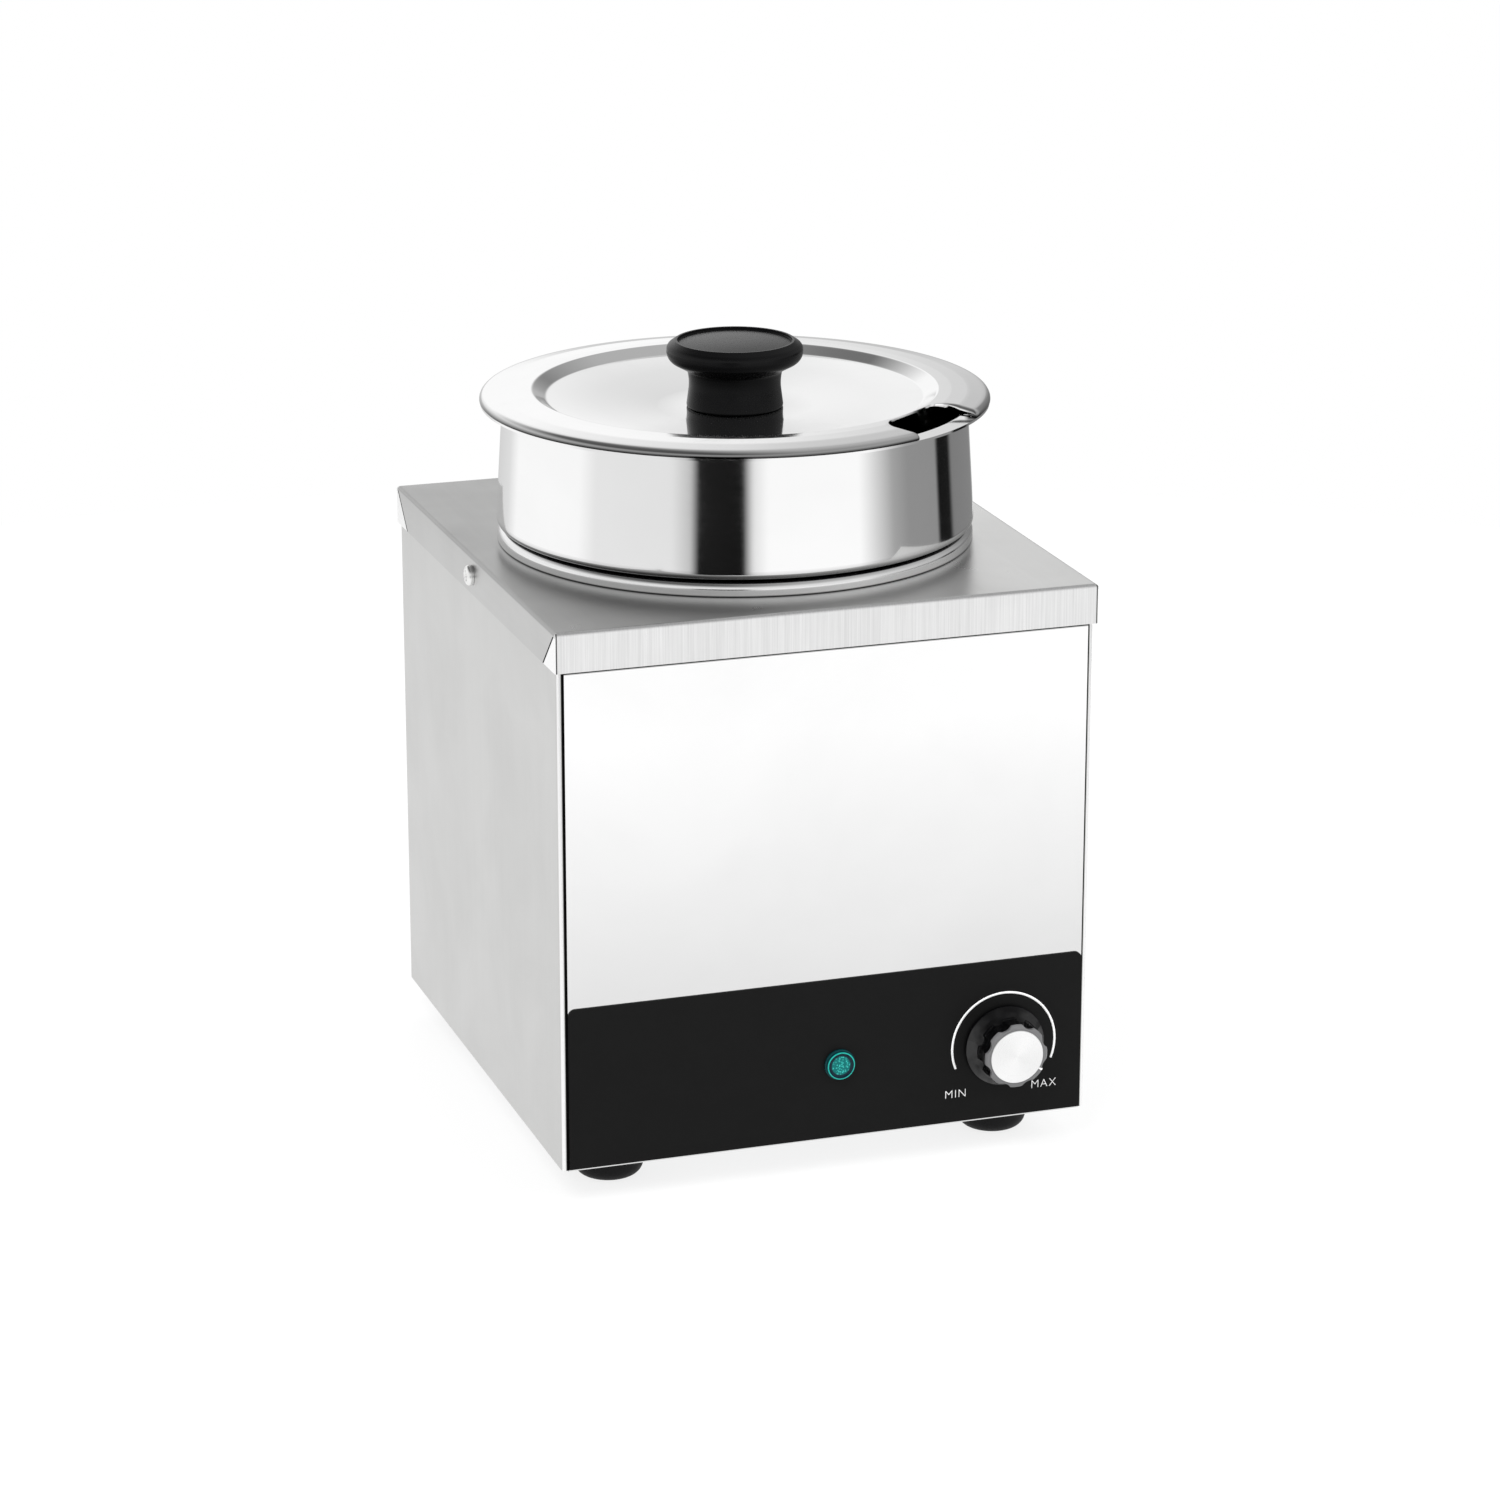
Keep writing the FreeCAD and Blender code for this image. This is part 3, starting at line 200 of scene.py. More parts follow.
def add_object(name: str, data: bpy.types.ID) -> Object:
    """Puts a mesh, a curve, a lamp or a camera into the scene.

    Args:
        name: Name of the object.
        data: What it shows.

    Returns:
        The new object.
    """
    made = bpy.data.objects.new(name, data)
    bpy.context.scene.collection.objects.link(made)
    return made


def freeze(piece: Object) -> Mesh:
    """Gives a plain mesh of an object with its modifiers."""
    return bpy.data.meshes.new_from_object(piece.evaluated_get(bpy.context.evaluated_depsgraph_get()))


def close_mesh(name: str, shape: BMesh, place: Matrix, crease: float = CREASE) -> Object:
    """Merges, turns outwards, smooths and places a drawn shape.

    Args:
        name: Name of the object.
        shape: The drawn shape, in millimetres. It is freed.
        place: Where it goes.
        crease: Angle between faces above which an edge stays sharp, in degrees.

    Returns:
        The new object, with its place in its mesh.
    """
    bmesh.ops.remove_doubles(shape, verts=shape.verts, dist=MERGE)
    bmesh.ops.dissolve_degenerate(shape, edges=shape.edges, dist=TINY)
    bmesh.ops.delete(shape, geom=[edge for edge in shape.edges if edge.is_wire], context="EDGES")
    bmesh.ops.holes_fill(shape, edges=[edge for edge in shape.edges if edge.is_boundary], sides=6)
    bmesh.ops.recalc_face_normals(shape, faces=shape.faces)
    for face in shape.faces:
        face.smooth = True
    for edge in shape.edges:
        edge.smooth = not edge.is_manifold or edge.calc_face_angle(0.0) < math.radians(crease)
    shape.transform(place)
    mesh = bpy.data.meshes.new(name)
    shape.to_mesh(mesh)
    shape.free()
    return add_object(name, mesh)


def join_rows(shape: BMesh, one: Sequence[BMVert], two: Sequence[BMVert], count: int) -> None:
    """Joins two rows of points with faces. A row can be a single point, and it can run round.

    Args:
        shape: The shape to draw in.
        one: The first row.
        two: The second row.
        count: Number of faces along the rows.
    """
    for i in range(count):
        corners = (one[i % len(one)], one[(i + 1) % len(one)], two[(i + 1) % len(two)], two[i % len(two)])
        kept = list(dict.fromkeys(corners))
        if len(kept) > 2:
            shape.faces.new(kept)


def lathe(name: str, points: Sequence[Pair], place: Matrix, segments: int = 192, closed: bool = True,
          sway: Optional[Sway] = None, crease: float = CREASE) -> Object:
    """Makes one turned piece from a profile about +Z.

    Args:
        name: Name of the piece.
        points: Profile as (radius, height).
        place: Where the piece goes.
        segments: Steps round the axis.
        closed: Whether the last point joins the first.
        sway: Gives another radius from the radius, the height and the angle.
        crease: Angle between faces above which an edge stays sharp, in degrees.

    Returns:
        The piece.
    """
    shape = bmesh.new()
    rings: list[list[BMVert]] = []
    for r, h in points:
        rings.append([])
        for step in range(1 if r < NEAR else segments):
            angle = 2 * math.pi * step / segments
            reach = sway(r, h, angle) if sway else r
            rings[-1].append(shape.verts.new((reach * math.cos(angle), reach * math.sin(angle), h)))
    for one, two in list(zip(rings, rings[1:])) + ([(rings[-1], rings[0])] if closed else []):
        join_rows(shape, one, two, segments)
    return close_mesh(name, shape, place, crease)


# ---------------------------------------------------------------- node trees


class Graph:
    """A node tree that is being wired up."""

    def __init__(self, tree: NodeTree) -> None:
        """Keeps the tree."""
        self.tree = tree

    @classmethod
    def group(cls, name: str, kind: str, inputs: dict[str, str], outputs: dict[str, str]) -> tuple["Graph", Any]:
        """Starts a node group.

        Args:
            name: Name of the group.
            kind: Shader or Geometry.
            inputs: Kind of each input socket, by name.
            outputs: Kind of each output socket, by name.

        Returns:
            The graph, and the sockets that bring the inputs in, by name.
        """
        tree = bpy.data.node_groups.new(name, kind + "NodeTree")
        for way, sockets in (("INPUT", inputs), ("OUTPUT", outputs)):
            for label, socket in sockets.items():
                tree.interface.new_socket(label, in_out=way, socket_type="NodeSocket" + socket)
        return cls(tree), tree.nodes.new("NodeGroupInput").outputs

    def feed(self, node: Node, inputs: dict) -> Node:
        """Fills inputs of a node.

        Args:
            node: The node.
            inputs: For each input, by name or number, a socket to link or a plain value.

        Returns:
            The node.
        """
        for key, value in inputs.items():
            if isinstance(value, NodeSocket):
                self.tree.links.new(value, node.inputs[key])
            else:
                node.inputs[key].default_value = value
        return node

    def node(self, kind: str, inputs: Optional[dict] = None, **settings: object) -> Node:
        """Adds a node.

        Args:
            kind: The node's type.
            inputs: What feed takes.
            settings: Properties of the node.

        Returns:
            The node.
        """
        made = self.tree.nodes.new(kind)
        for key, value in settings.items():
            setattr(made, key, value)
        return self.feed(made, inputs or {})

    def close(self, outputs: dict[str, NodeSocket]) -> NodeTree:
        """Ends a node group and gives its tree."""
        self.node("NodeGroupOutput", outputs)
        return self.tree

    def effect(self, kind: "Effect", **inputs: object) -> Any:
        """Adds a shared node group at the Object coordinates and gives its outputs."""
        return self.node("ShaderNodeGroup", {"Place": self.here(), **inputs}, node_tree=kind.group()).outputs

    def here(self) -> NodeSocket:
        """Gives the piece's Object coordinates."""
        return self.node("ShaderNodeTexCoord").outputs["Object"]

    def split(self, vector: Optional[NodeSocket] = None) -> Any:
        """Gives the X, Y and Z of a vector, or of the Object coordinates, by name."""
        return self.node("ShaderNodeSeparateXYZ", {0: vector or self.here()}).outputs

    def sum(self, operation: str, first: object, second: object = 0.0) -> NodeSocket:
        """Adds a Math node and gives its result."""
        return self.node("ShaderNodeMath", {0: first, 1: second}, operation=operation).outputs[0]

    def times(self, first: object, second: object) -> NodeSocket:
        """Multiplies two values."""
        return self.sum("MULTIPLY", first, second)

    def off(self, value: NodeSocket, middle: float = 0.0) -> NodeSocket:
        """Gives how far a value is from a middle in millimetres."""
        return self.sum("ABSOLUTE", self.sum("SUBTRACT", value, middle * MM))

    def vector(self, operation: str, first: object, second: object) -> NodeSocket:
        """Adds a Vector Math node and gives its vector."""
        return self.node("ShaderNodeVectorMath", {0: first, 1: second}, operation=operation).outputs["Vector"]

    def scaled(self, vector: NodeSocket, size: NodeSocket) -> NodeSocket:
        """Multiplies a vector by a size."""
        return self.node("ShaderNodeVectorMath", {0: vector, 3: size}, operation="SCALE").outputs["Vector"]

    def reach(self, centre: Triple, scale: Triple) -> NodeSocket:
        """Gives the distance from a centre in millimetres, with a scale for each axis."""
        across = self.vector("MULTIPLY", self.vector("SUBTRACT", self.here(), Vector(centre) * MM), scale)
        return self.node("ShaderNodeVectorMath", {0: across}, operation="LENGTH").outputs["Value"]

    def spread(self, value: object, low: float, high: float, to_low: float = 0.0, to_high: float = 1.0) -> NodeSocket:
        """Maps a range of values onto another, clamped."""
        return self.node("ShaderNodeMapRange", {"Value": value, "From Min": low, "From Max": high,
                                                "To Min": to_low, "To Max": to_high}).outputs[0]

    def rise(self, value: object, start: float, end: float) -> NodeSocket:
        """Gives 0 up to a start and 1 from an end, in millimetres."""
        return self.spread(value, start * MM, end * MM)

    def fall(self, value: object, start: float, end: float) -> NodeSocket:
        """Gives 1 up to a start and 0 from an end, in millimetres."""
        return self.spread(value, start * MM, end * MM, 1.0, 0.0)

    def mix(self, share: object, one: object, two: object) -> NodeSocket:
        """Mixes two colours."""
        return self.node("ShaderNodeMix", {0: share, 6: one, 7: two}, data_type="RGBA").outputs[2]

    def noise(self, where: object, scale: float, detail: float, rough: float = 0.5) -> NodeSocket:
        """Adds a noise and gives its value."""
        return self.node("ShaderNodeTexNoise", {"Vector": where, "Scale": scale, "Detail": detail,
                                                "Roughness": rough}).outputs[0]

    def ramp(self, value: NodeSocket, stops: Sequence[tuple[float, Colour]]) -> NodeSocket:
        """Adds a ramp of colours.

        Args:
            value: What runs along the ramp, from 0 to 1.
            stops: Position and colour of each stop.

        Returns:
            The colour.
        """
        ramp = self.node("ShaderNodeValToRGB", {0: value})
        elements = ramp.color_ramp.elements
        for index, (position, colour) in enumerate(stops):
            stop = elements[index] if index < 2 else elements.new(position)
            stop.position, stop.color = position, colour
        return ramp.outputs["Color"]


class Repeats:
    """Geometry Nodes trees that repeat a shape, or draw a line, by named sizes."""

    @staticmethod
    def start(name: str, **inputs: str) -> tuple[Graph, Any]:
        """Starts a tree that takes a geometry, a finish and named inputs."""
        taken = {"Geometry": "Geometry", **inputs, "Finish": "Material"}
        return Graph.group(name, "Geometry", taken, {"Geometry": "Geometry"})

    @staticmethod
    def end(graph: Graph, given: Any, geometry: NodeSocket) -> NodeTree:
        """Ends a tree in Realize Instances and Set Material.

        Args:
            graph: The tree's graph.
            given: The tree's inputs.
            geometry: What the tree has made.

        Returns:
            The tree.
        """
        real = graph.node("GeometryNodeRealizeInstances", {"Geometry": geometry})
        paint = graph.node("GeometryNodeSetMaterial", {"Geometry": real.outputs[0], "Material": given["Finish"]})
        return graph.close({"Geometry": paint.outputs[0]})

    @staticmethod
    def put(graph: Graph, points: Node, piece: NodeSocket, facing: Node, axis: str) -> NodeSocket:
        """Puts an object on points.

        Args:
            graph: The tree's graph.
            points: Node that gives the points.
            piece: The object.
            facing: Node that gives the way that the object faces.
            axis: The object's axis that faces it.

        Returns:
            The instances.
        """
        shown = graph.node("GeometryNodeObjectInfo", {"Object": piece})
        turn = graph.node("FunctionNodeAlignRotationToVector", {"Vector": facing.outputs[0]}, axis=axis)
        return graph.node("GeometryNodeInstanceOnPoints", {
            "Points": points.outputs[0], "Instance": shown.outputs["Geometry"],
            "Rotation": turn.outputs["Rotation"]}).outputs["Instances"]

    @classmethod
    def at_points(cls) -> NodeTree:
        """Makes the tree that stands a piece on each point, along the point's facing.

        Returns:
            The tree.
        """
        graph, given = cls.start("Piece at each point", Piece="Object")
        points = graph.node("GeometryNodeMeshToPoints", {"Mesh": given["Geometry"]})
        facing = graph.node("GeometryNodeInputNamedAttribute", {"Name": "facing"}, data_type="FLOAT_VECTOR")
        return cls.end(graph, given, cls.put(graph, points, given["Piece"], facing, "Z"))

    @classmethod
    def round_axis(cls) -> NodeTree:
        """Makes the tree that sets ribs round +Z on a turned body.

        Returns:
            The tree.
        """
        graph, given = cls.start("Ribs round an axis", Rib="Object", Count="Int", Radius="Float")
        circle = graph.node("GeometryNodeMeshCircle", {"Vertices": given["Count"], "Radius": given["Radius"]})
        ribs = cls.put(graph, circle, given["Rib"], graph.node("GeometryNodeInputPosition"), "X")
        both = graph.node("GeometryNodeJoinGeometry", {"Geometry": ribs})
        graph.feed(both, {"Geometry": given["Geometry"]})
        return cls.end(graph, given, both.outputs["Geometry"])

    @classmethod
    def arc_line(cls) -> NodeTree:
        """Makes the tree that draws a raised line along an arc about +Z.

        Returns:
            The tree.
        """
        sizes = ("Radius", "Start", "Sweep", "Width", "Height")
        graph, given = cls.start("Line along an arc", **{label: "Float" for label in sizes})
        arc = graph.node("GeometryNodeCurveArc", {"Resolution": 96, "Radius": given["Radius"],
                                                  "Start Angle": given["Start"], "Sweep Angle": given["Sweep"]})
        upright = graph.node("GeometryNodeSetCurveNormal", {"Curve": arc.outputs["Curve"]}, mode="Z_UP")
        section = graph.node("GeometryNodeCurvePrimitiveQuadrilateral",
                             {"Width": given["Width"], "Height": given["Height"]})
        line = graph.node("GeometryNodeCurveToMesh", {"Fill Caps": True, "Curve": upright.outputs["Curve"],
                                                      "Profile Curve": section.outputs["Curve"]})
        return cls.end(graph, given, line.outputs["Mesh"])

    @staticmethod
    def run(name: str, base: Mesh, tree: NodeTree, values: dict[str, object],
            place: Matrix = Matrix.Identity(4)) -> Object:
        """Evaluates a tree on a mesh and keeps the result as a plain mesh.

        Args:
            name: Name of the new object.
            base: Mesh that the tree starts from.
            tree: The tree.
            values: Input values by name.
            place: Where the result goes.

        Returns:
            The new object, with no modifier.
        """
        holder = add_object(name, base)
        step = holder.modifiers.new("repeat", "NODES")
        step.node_group = tree
        for item in tree.interface.items_tree:
            if item.item_type == "SOCKET" and item.in_out == "INPUT" and item.name in values:
                step[item.identifier] = values[item.name]
        mesh = freeze(holder)
        holder.modifiers.remove(step)
        mesh.transform(place)
        holder.data = mesh
        return holder

    @staticmethod
    def points(places: Sequence[Triple], facing: Sequence[Axis]) -> Mesh:
        """Makes a mesh of loose points.

        Args:
            places: Where they are.
            facing: The way that each of them faces.

        Returns:
            The mesh, in metres.
        """
        mesh = bpy.data.meshes.new("places")
        mesh.from_pydata([Vector(place) * MM for place in places], [], [])
        layer = mesh.attributes.new("facing", "FLOAT_VECTOR", "POINT")
        for spot, way in zip(layer.data, facing):
            spot.vector = way.value
        return mesh


class Effect(Enum):
    """Shader node groups that several finishes share. Each one is built on first use."""

    BRUSH = "Brush lines"
    POLISH = "Cloudy polish"
    GRAIN = "Moulded grain"

    def group(self) -> NodeTree:
        """Gives the group."""
        makers = {Effect.BRUSH: self.brush, Effect.POLISH: self.polish, Effect.GRAIN: self.grain}
        return bpy.data.node_groups.get(self.value) or makers[self]()

    def start(self, size: str, kind: str, *outputs: str) -> tuple[Graph, Any]:
        """Starts the group, which takes a place and one size and puts out values."""
        return Graph.group(self.value, "Shader", {"Place": "Vector", size: kind}, dict.fromkeys(outputs, "Float"))

    def brush(self) -> NodeTree:
        """Makes the fine and broad lines of a brushed sheet, drawn out along one way.

        Returns:
            The group.
        """
        graph, given = self.start("Stretch", "Vector", "Lines", "Streaks")
        drawn = graph.vector("MULTIPLY", given["Place"], given["Stretch"])
        fine = graph.noise(drawn, 1.0, 3.0, 0.62)
        broad = graph.noise(graph.vector("MULTIPLY", drawn, (0.17, 0.17, 0.17)), 1.0, 2.0)
        return graph.close({"Lines": graph.spread(fine, 0.28, 0.72), "Streaks": graph.spread(broad, 0.3, 0.7)})

    def polish(self) -> NodeTree:
        """Makes the soft clouds and fine wiping marks of a bright surface.

        Returns:
            The group.
        """
        graph, given = self.start("Size", "Float", "Clouds", "Wipes", "Ripple")
        small = graph.scaled(given["Place"], given["Size"])
        bent = graph.node("ShaderNodeTexNoise", {"Vector": small, "Scale": 0.6, "Detail": 1.0}).outputs["Color"]
        warped = graph.vector("ADD", small, graph.vector("MULTIPLY", bent, (1.6, 1.6, 1.6)))
        clouds = graph.noise(warped, 1.0, 4.0, 0.55)
        wipes = graph.noise(graph.vector("MULTIPLY", warped, (2.5, 2.5, 16.0)), 3.0, 3.0, 0.6)
        return graph.close({"Clouds": graph.spread(clouds, 0.36, 0.7), "Wipes": graph.spread(wipes, 0.3, 0.75),
                            "Ripple": graph.noise(small, 0.35, 1.0, 0.4)})

    def grain(self) -> NodeTree:
        """Makes the pebble grain and slow mottling of a moulded or sprayed surface.

        Returns:
            The group.
        """
        graph, given = self.start("Size", "Float", "Grain", "Mottle")
        small = graph.scaled(given["Place"], given["Size"])
        cells = graph.node("ShaderNodeTexVoronoi", {"Vector": small, "Scale": 1.0}, feature="SMOOTH_F1")
        grain = graph.sum("ADD", graph.times(cells.outputs["Distance"], 0.55),
                          graph.times(graph.noise(small, 1.7, 3.0, 0.6), 0.6))
        return graph.close({"Grain": grain, "Mottle": graph.spread(graph.noise(small, 0.045, 3.0, 0.6), 0.32, 0.68)})


# ---------------------------------------------------------------- finishes


@dataclass(frozen=True)
class PaintedLightZone:
    """Box in the part's frame, in millimetres, the same on both sides of the middle plane.

    The reach is the distance from an upright axis in the middle plane, at the depth that the axis gives. The box
    holds painted light: the level is the grey painted inside it, nearly black for painted shade in a gap or slit,
    near white for a painted highlight.
    """

    x: Range = (None, None)
    y: Range = (None, None)
    z: Range = (None, None)
    reach: Range = (None, None)
    axis: float = 0.0
    blur: float = 0.15
    level: float = 0.004

    def mask(self, graph: Graph) -> NodeSocket:
        """Gives 1 inside the box and 0 outside it.

        Args:
            graph: The material's graph.

        Returns:
            The mask.
        """
        parts, reach, mask = graph.split(), graph.reach((0.0, self.axis, 0.0), ROUND_Z), 1.0
        for value, edges in ((graph.off(parts["X"]), self.x), (parts["Y"], self.y), (parts["Z"], self.z),
                             (reach, self.reach)):
            for edge, step in zip(edges, (graph.rise, graph.fall)):
                if edge is not None:
                    mask = graph.times(mask, step(value, edge - self.blur, edge + self.blur))
        return mask


@dataclass(frozen=True)
class PaintedShade:
    """Painted shade: a slow loss of light painted along one axis of the part, in millimetres: a share at the start,
    none at the end.

    Below the height only a part of the loss is kept.
    """

    axis: str
    start: float
    end: float
    share: float
    height: float = -1000.0
    kept: float = 0.74

    def mask(self, graph: Graph) -> NodeSocket:
        """Gives the share that is lost.

        Args:
            graph: The material's graph.

        Returns:
            The share.
        """
        parts = graph.split()
        lost = graph.spread(parts[self.axis], self.start * MM, self.end * MM, self.share, 0.0)
        return graph.times(lost, graph.spread(parts["Z"], (self.height - 0.5) * MM, self.height * MM, self.kept, 1.0))


@dataclass(frozen=True)
class Finish:
    """A surface finish, built once as a material. It can take painted shade along an axis, and marks of painted light:
    painted shade in gaps and slits, and painted highlights.

    The bump is the strength of its relief, and the depth is the relief's height in millimetres.
    """

    metallic: ClassVar[float] = 1.0
    bump: ClassVar[float] = 0.3
    name: str
    tone: Colour
    roughness: float
    depth: float = field(default=0.02, kw_only=True)
    # Painted shade along an axis, which darkens the tone.
    painted_shade: Optional[PaintedShade] = field(default=None, kw_only=True)
    # Marks of painted light: painted shade in gaps and slits, and painted highlights.
    marks: tuple[PaintedLightZone, ...] = field(default=(), kw_only=True)

    def material(self) -> Material:
        """Gives the finish's material, and builds it on first use."""
        return bpy.data.materials.get(self.name) or self.build()

    def build(self) -> Material:
        """Builds the material: plain values on its shader first, then its surface with its painted light.

        Returns:
            The material.
        """
        made = bpy.data.materials.new(self.name)
        made.use_nodes = True
        made.diffuse_color = self.tone
        graph, shader = Graph(made.node_tree), made.node_tree.nodes["Principled BSDF"]
        graph.feed(shader, {"Base Color": self.tone, "Metallic": self.metallic, "Roughness": self.roughness})
        inputs, height = self.surface(graph)
        colour = inputs["Base Color"]
        # Paints the marks over the colour: painted shade and painted highlights.
        for zone in self.marks:
            colour = graph.mix(zone.mask(graph), colour, grey(zone.level))
        bumped = graph.node("ShaderNodeBump", {"Height": height, "Strength": self.bump, "Distance": self.depth * MM})
        graph.feed(shader, {**inputs, "Base Color": colour, "Normal": bumped.outputs["Normal"]})
        return made

    def surface(self, graph: Graph) -> Surface:
        """Gives the shader's inputs by name and the height of its relief; each kind of finish has its own."""
        raise NotImplementedError

    def darker(self, share: float) -> Colour:
        """Gives the tone with a share of its light taken away."""
        return (self.tone[0] * (1 - share), self.tone[1] * (1 - share), self.tone[2] * (1 - share), 1.0)

    def with_painted_shade(self, graph: Graph) -> Any:
        """Gives the tone with its painted shade along an axis."""
        return graph.mix(self.painted_shade.mask(graph), self.tone, BLACK) if self.painted_shade else self.tone


@dataclass(frozen=True)
class PaintedCornerTabLight:
    """Painted highlight: a bright triangle painted at each end of the cover's side flanges, where the front and back
    folds end, with painted shade along its slanted edge.
    """

    face: float
    middle: float
    end: float
    top: float

    def masks(self, graph: Graph) -> tuple[NodeSocket, NodeSocket]:
        """Marks the triangles, which are nearer to the end of the flange than to its top.

        Args:
            graph: The material's graph.

        Returns:
            A mask of the painted highlight on the triangles and one of the painted shade along their slanted edges.
        """
        parts = graph.split()
        inset = graph.sum("SUBTRACT", self.end * MM, graph.off(parts["Y"], self.middle))
        over = graph.sum("SUBTRACT", graph.sum("SUBTRACT", self.top * MM, parts["Z"]), inset)
        side = graph.times(graph.rise(graph.off(parts["X"]), self.face - 0.6, self.face - 0.3),
                           graph.fall(parts["Z"], self.top - 2.2, self.top - 1.8))
        painted_seam_shade = graph.fall(graph.off(over, -0.45), 0.6, 0.8)
        return graph.times(graph.rise(over, -0.05, 0.1), side), graph.times(painted_seam_shade, side)


@dataclass(frozen=True)
class Fold:
    """The front and back folds of a sheet: their grain, their tone painted for the light that they catch, and where
    they begin, from the sheet's middle.
    """

    stretch: Triple
    lines: float
    tone: Colour
    middle: float
    start: float

    def mask(self, graph: Graph) -> NodeSocket:
        """Gives 1 on the folds."""
        return graph.rise(graph.off(graph.split()["Y"], self.middle), self.start, self.start + 0.4)


@dataclass(frozen=True)
class BrushedSteel(Finish):
    """Sheet steel with a brushed grain, and cloudy handling marks.

    The grain runs along the axis with the smallest stretch, in lines per metre. Where the sheet is folded at its
    front and back, the folds take a grain of their own and a painted tone that stands in for the light that they
    catch. Corner tabs can carry a painted highlight, with painted shade along their slanted edges.
    """

    bump: ClassVar[float] = 0.25
    cloud_size: ClassVar[float] = 22.0
    stretch: Triple
    lines: float
    streaks: float
    fold: Optional[Fold] = None
    painted_tab_highlight: Optional[PaintedCornerTabLight] = None

    def surface(self, graph: Graph) -> Surface:
        """Gives what feeds the shader.

        Args:
            graph: The material's graph.

        Returns:
            The shader's inputs and the relief's height.
        """
        brush = graph.effect(Effect.BRUSH, Stretch=self.stretch)
        worn, tone = graph.spread(brush["Lines"], 0.0, 1.0, self.lines, 0.0), self.with_painted_shade(graph)
        if self.fold is not None:
            ruled = graph.effect(Effect.BRUSH, Stretch=self.fold.stretch)["Lines"]
            folded = self.fold.mask(graph)
            scored = graph.spread(ruled, 0.0, 1.0, self.fold.lines, 0.0)
            worn = graph.node("ShaderNodeMix", {0: folded, 2: worn, 3: scored}, data_type="FLOAT").outputs[0]
            # The folds take their painted tone, which stands in for the light that they catch.
            tone = graph.mix(folded, tone, self.fold.tone)
        clouds = graph.effect(Effect.POLISH, Size=self.cloud_size)["Clouds"]
        colour = graph.mix(graph.times(brush["Streaks"], self.streaks), graph.mix(worn, tone, BLACK), self.darker(0.5))
        colour = graph.mix(graph.times(clouds, 0.04), colour, self.darker(0.7))
        if self.painted_tab_highlight is not None:
            # Paints the corner tabs near white, a painted highlight, and their slanted edges black, painted shade.
            painted_tab_highlight, painted_seam_shade = self.painted_tab_highlight.masks(graph)
            colour = graph.mix(painted_seam_shade, graph.mix(painted_tab_highlight, colour, shade(254)), BLACK)
        rough = graph.sum("ADD", graph.sum("ADD", graph.times(worn, 0.6), self.roughness), graph.times(clouds, 0.05))
        return {"Base Color": colour, "Roughness": rough}, worn


@dataclass(frozen=True)
class MirrorSteel(Finish):
    """Bright polished steel with faint clouds, wiping marks and slow ripples."""

    bump: ClassVar[float] = 0.6
    haze: float
    smudge: float
    size: float

    def surface(self, graph: Graph) -> Surface:
        """Gives what feeds the shader.

        Args:
            graph: The material's graph.

        Returns:
            The shader's inputs and the relief's height.
        """
        polish = graph.effect(Effect.POLISH, Size=self.size)
        worn = graph.times(polish["Clouds"], self.smudge)
        colour = graph.mix(worn, self.with_painted_shade(graph), self.darker(0.6))
        wiped = graph.sum("ADD", graph.times(polish["Wipes"], self.haze * 0.6), self.roughness)
        rough = graph.sum("ADD", wiped, graph.times(polish["Clouds"], self.haze))
        return {"Base Color": colour, "Roughness": rough}, polish["Ripple"]


@dataclass(frozen=True)
class PlainMetal(Finish):
    """Small metal piece: plated, drawn or cast, with a fine grain."""

    grain: float = 900.0
    stain: float = 0.3

    def surface(self, graph: Graph) -> Surface:
        """Gives what feeds the shader.

        Args:
            graph: The material's graph.

        Returns:
            The shader's inputs and the relief's height.
        """
        cast = graph.effect(Effect.GRAIN, Size=self.grain)
        colour = graph.mix(graph.times(cast["Mottle"], self.stain), self.tone, self.darker(0.6))
        rough = graph.spread(cast["Mottle"], 0.0, 1.0, self.roughness, self.roughness + 0.15)
        return {"Base Color": colour, "Roughness": rough}, cast["Grain"]


@dataclass(frozen=True)
class SpunMetal(Finish):
    """Disc of aluminium with the rings of its turning, and painted wedges of shade that stand in for the light wedges
    of spun metal, about a front-facing axis.
    """

    bump: ClassVar[float] = 0.4
    axis: Triple
    pitch: float = 9000.0

    def surface(self, graph: Graph) -> Surface:
        """Gives what feeds the shader.

        Args:
            graph: The material's graph.

        Returns:
            The shader's inputs and the relief's height.
        """
        reach = graph.reach(self.axis, ROUND_Y)
        rings = graph.node("ShaderNodeTexNoise", {"W": reach, "Scale": self.pitch, "Detail": 2.0},
                           noise_dimensions="1D").outputs[0]
        # Painted wedges of shade round the axis, which stand in for the reflections of spun metal.
        parts = graph.split(graph.vector("SUBTRACT", graph.here(), Vector(self.axis) * MM))
        turn = graph.times(graph.sum("ARCTAN2", parts["Z"], parts["X"]), 2.0)
        painted_wedge_shade = graph.spread(graph.sum("COSINE", graph.sum("ADD", turn, 0.9)), -1.0, 1.0, 0.0, 0.07)
        ringed = graph.mix(graph.spread(rings, 0.3, 0.7), self.darker(0.06), self.tone)
        rough = graph.spread(rings, 0.3, 0.7, self.roughness + 0.08, self.roughness)
        return {"Base Color": graph.mix(painted_wedge_shade, ringed, BLACK), "Roughness": rough}, rings


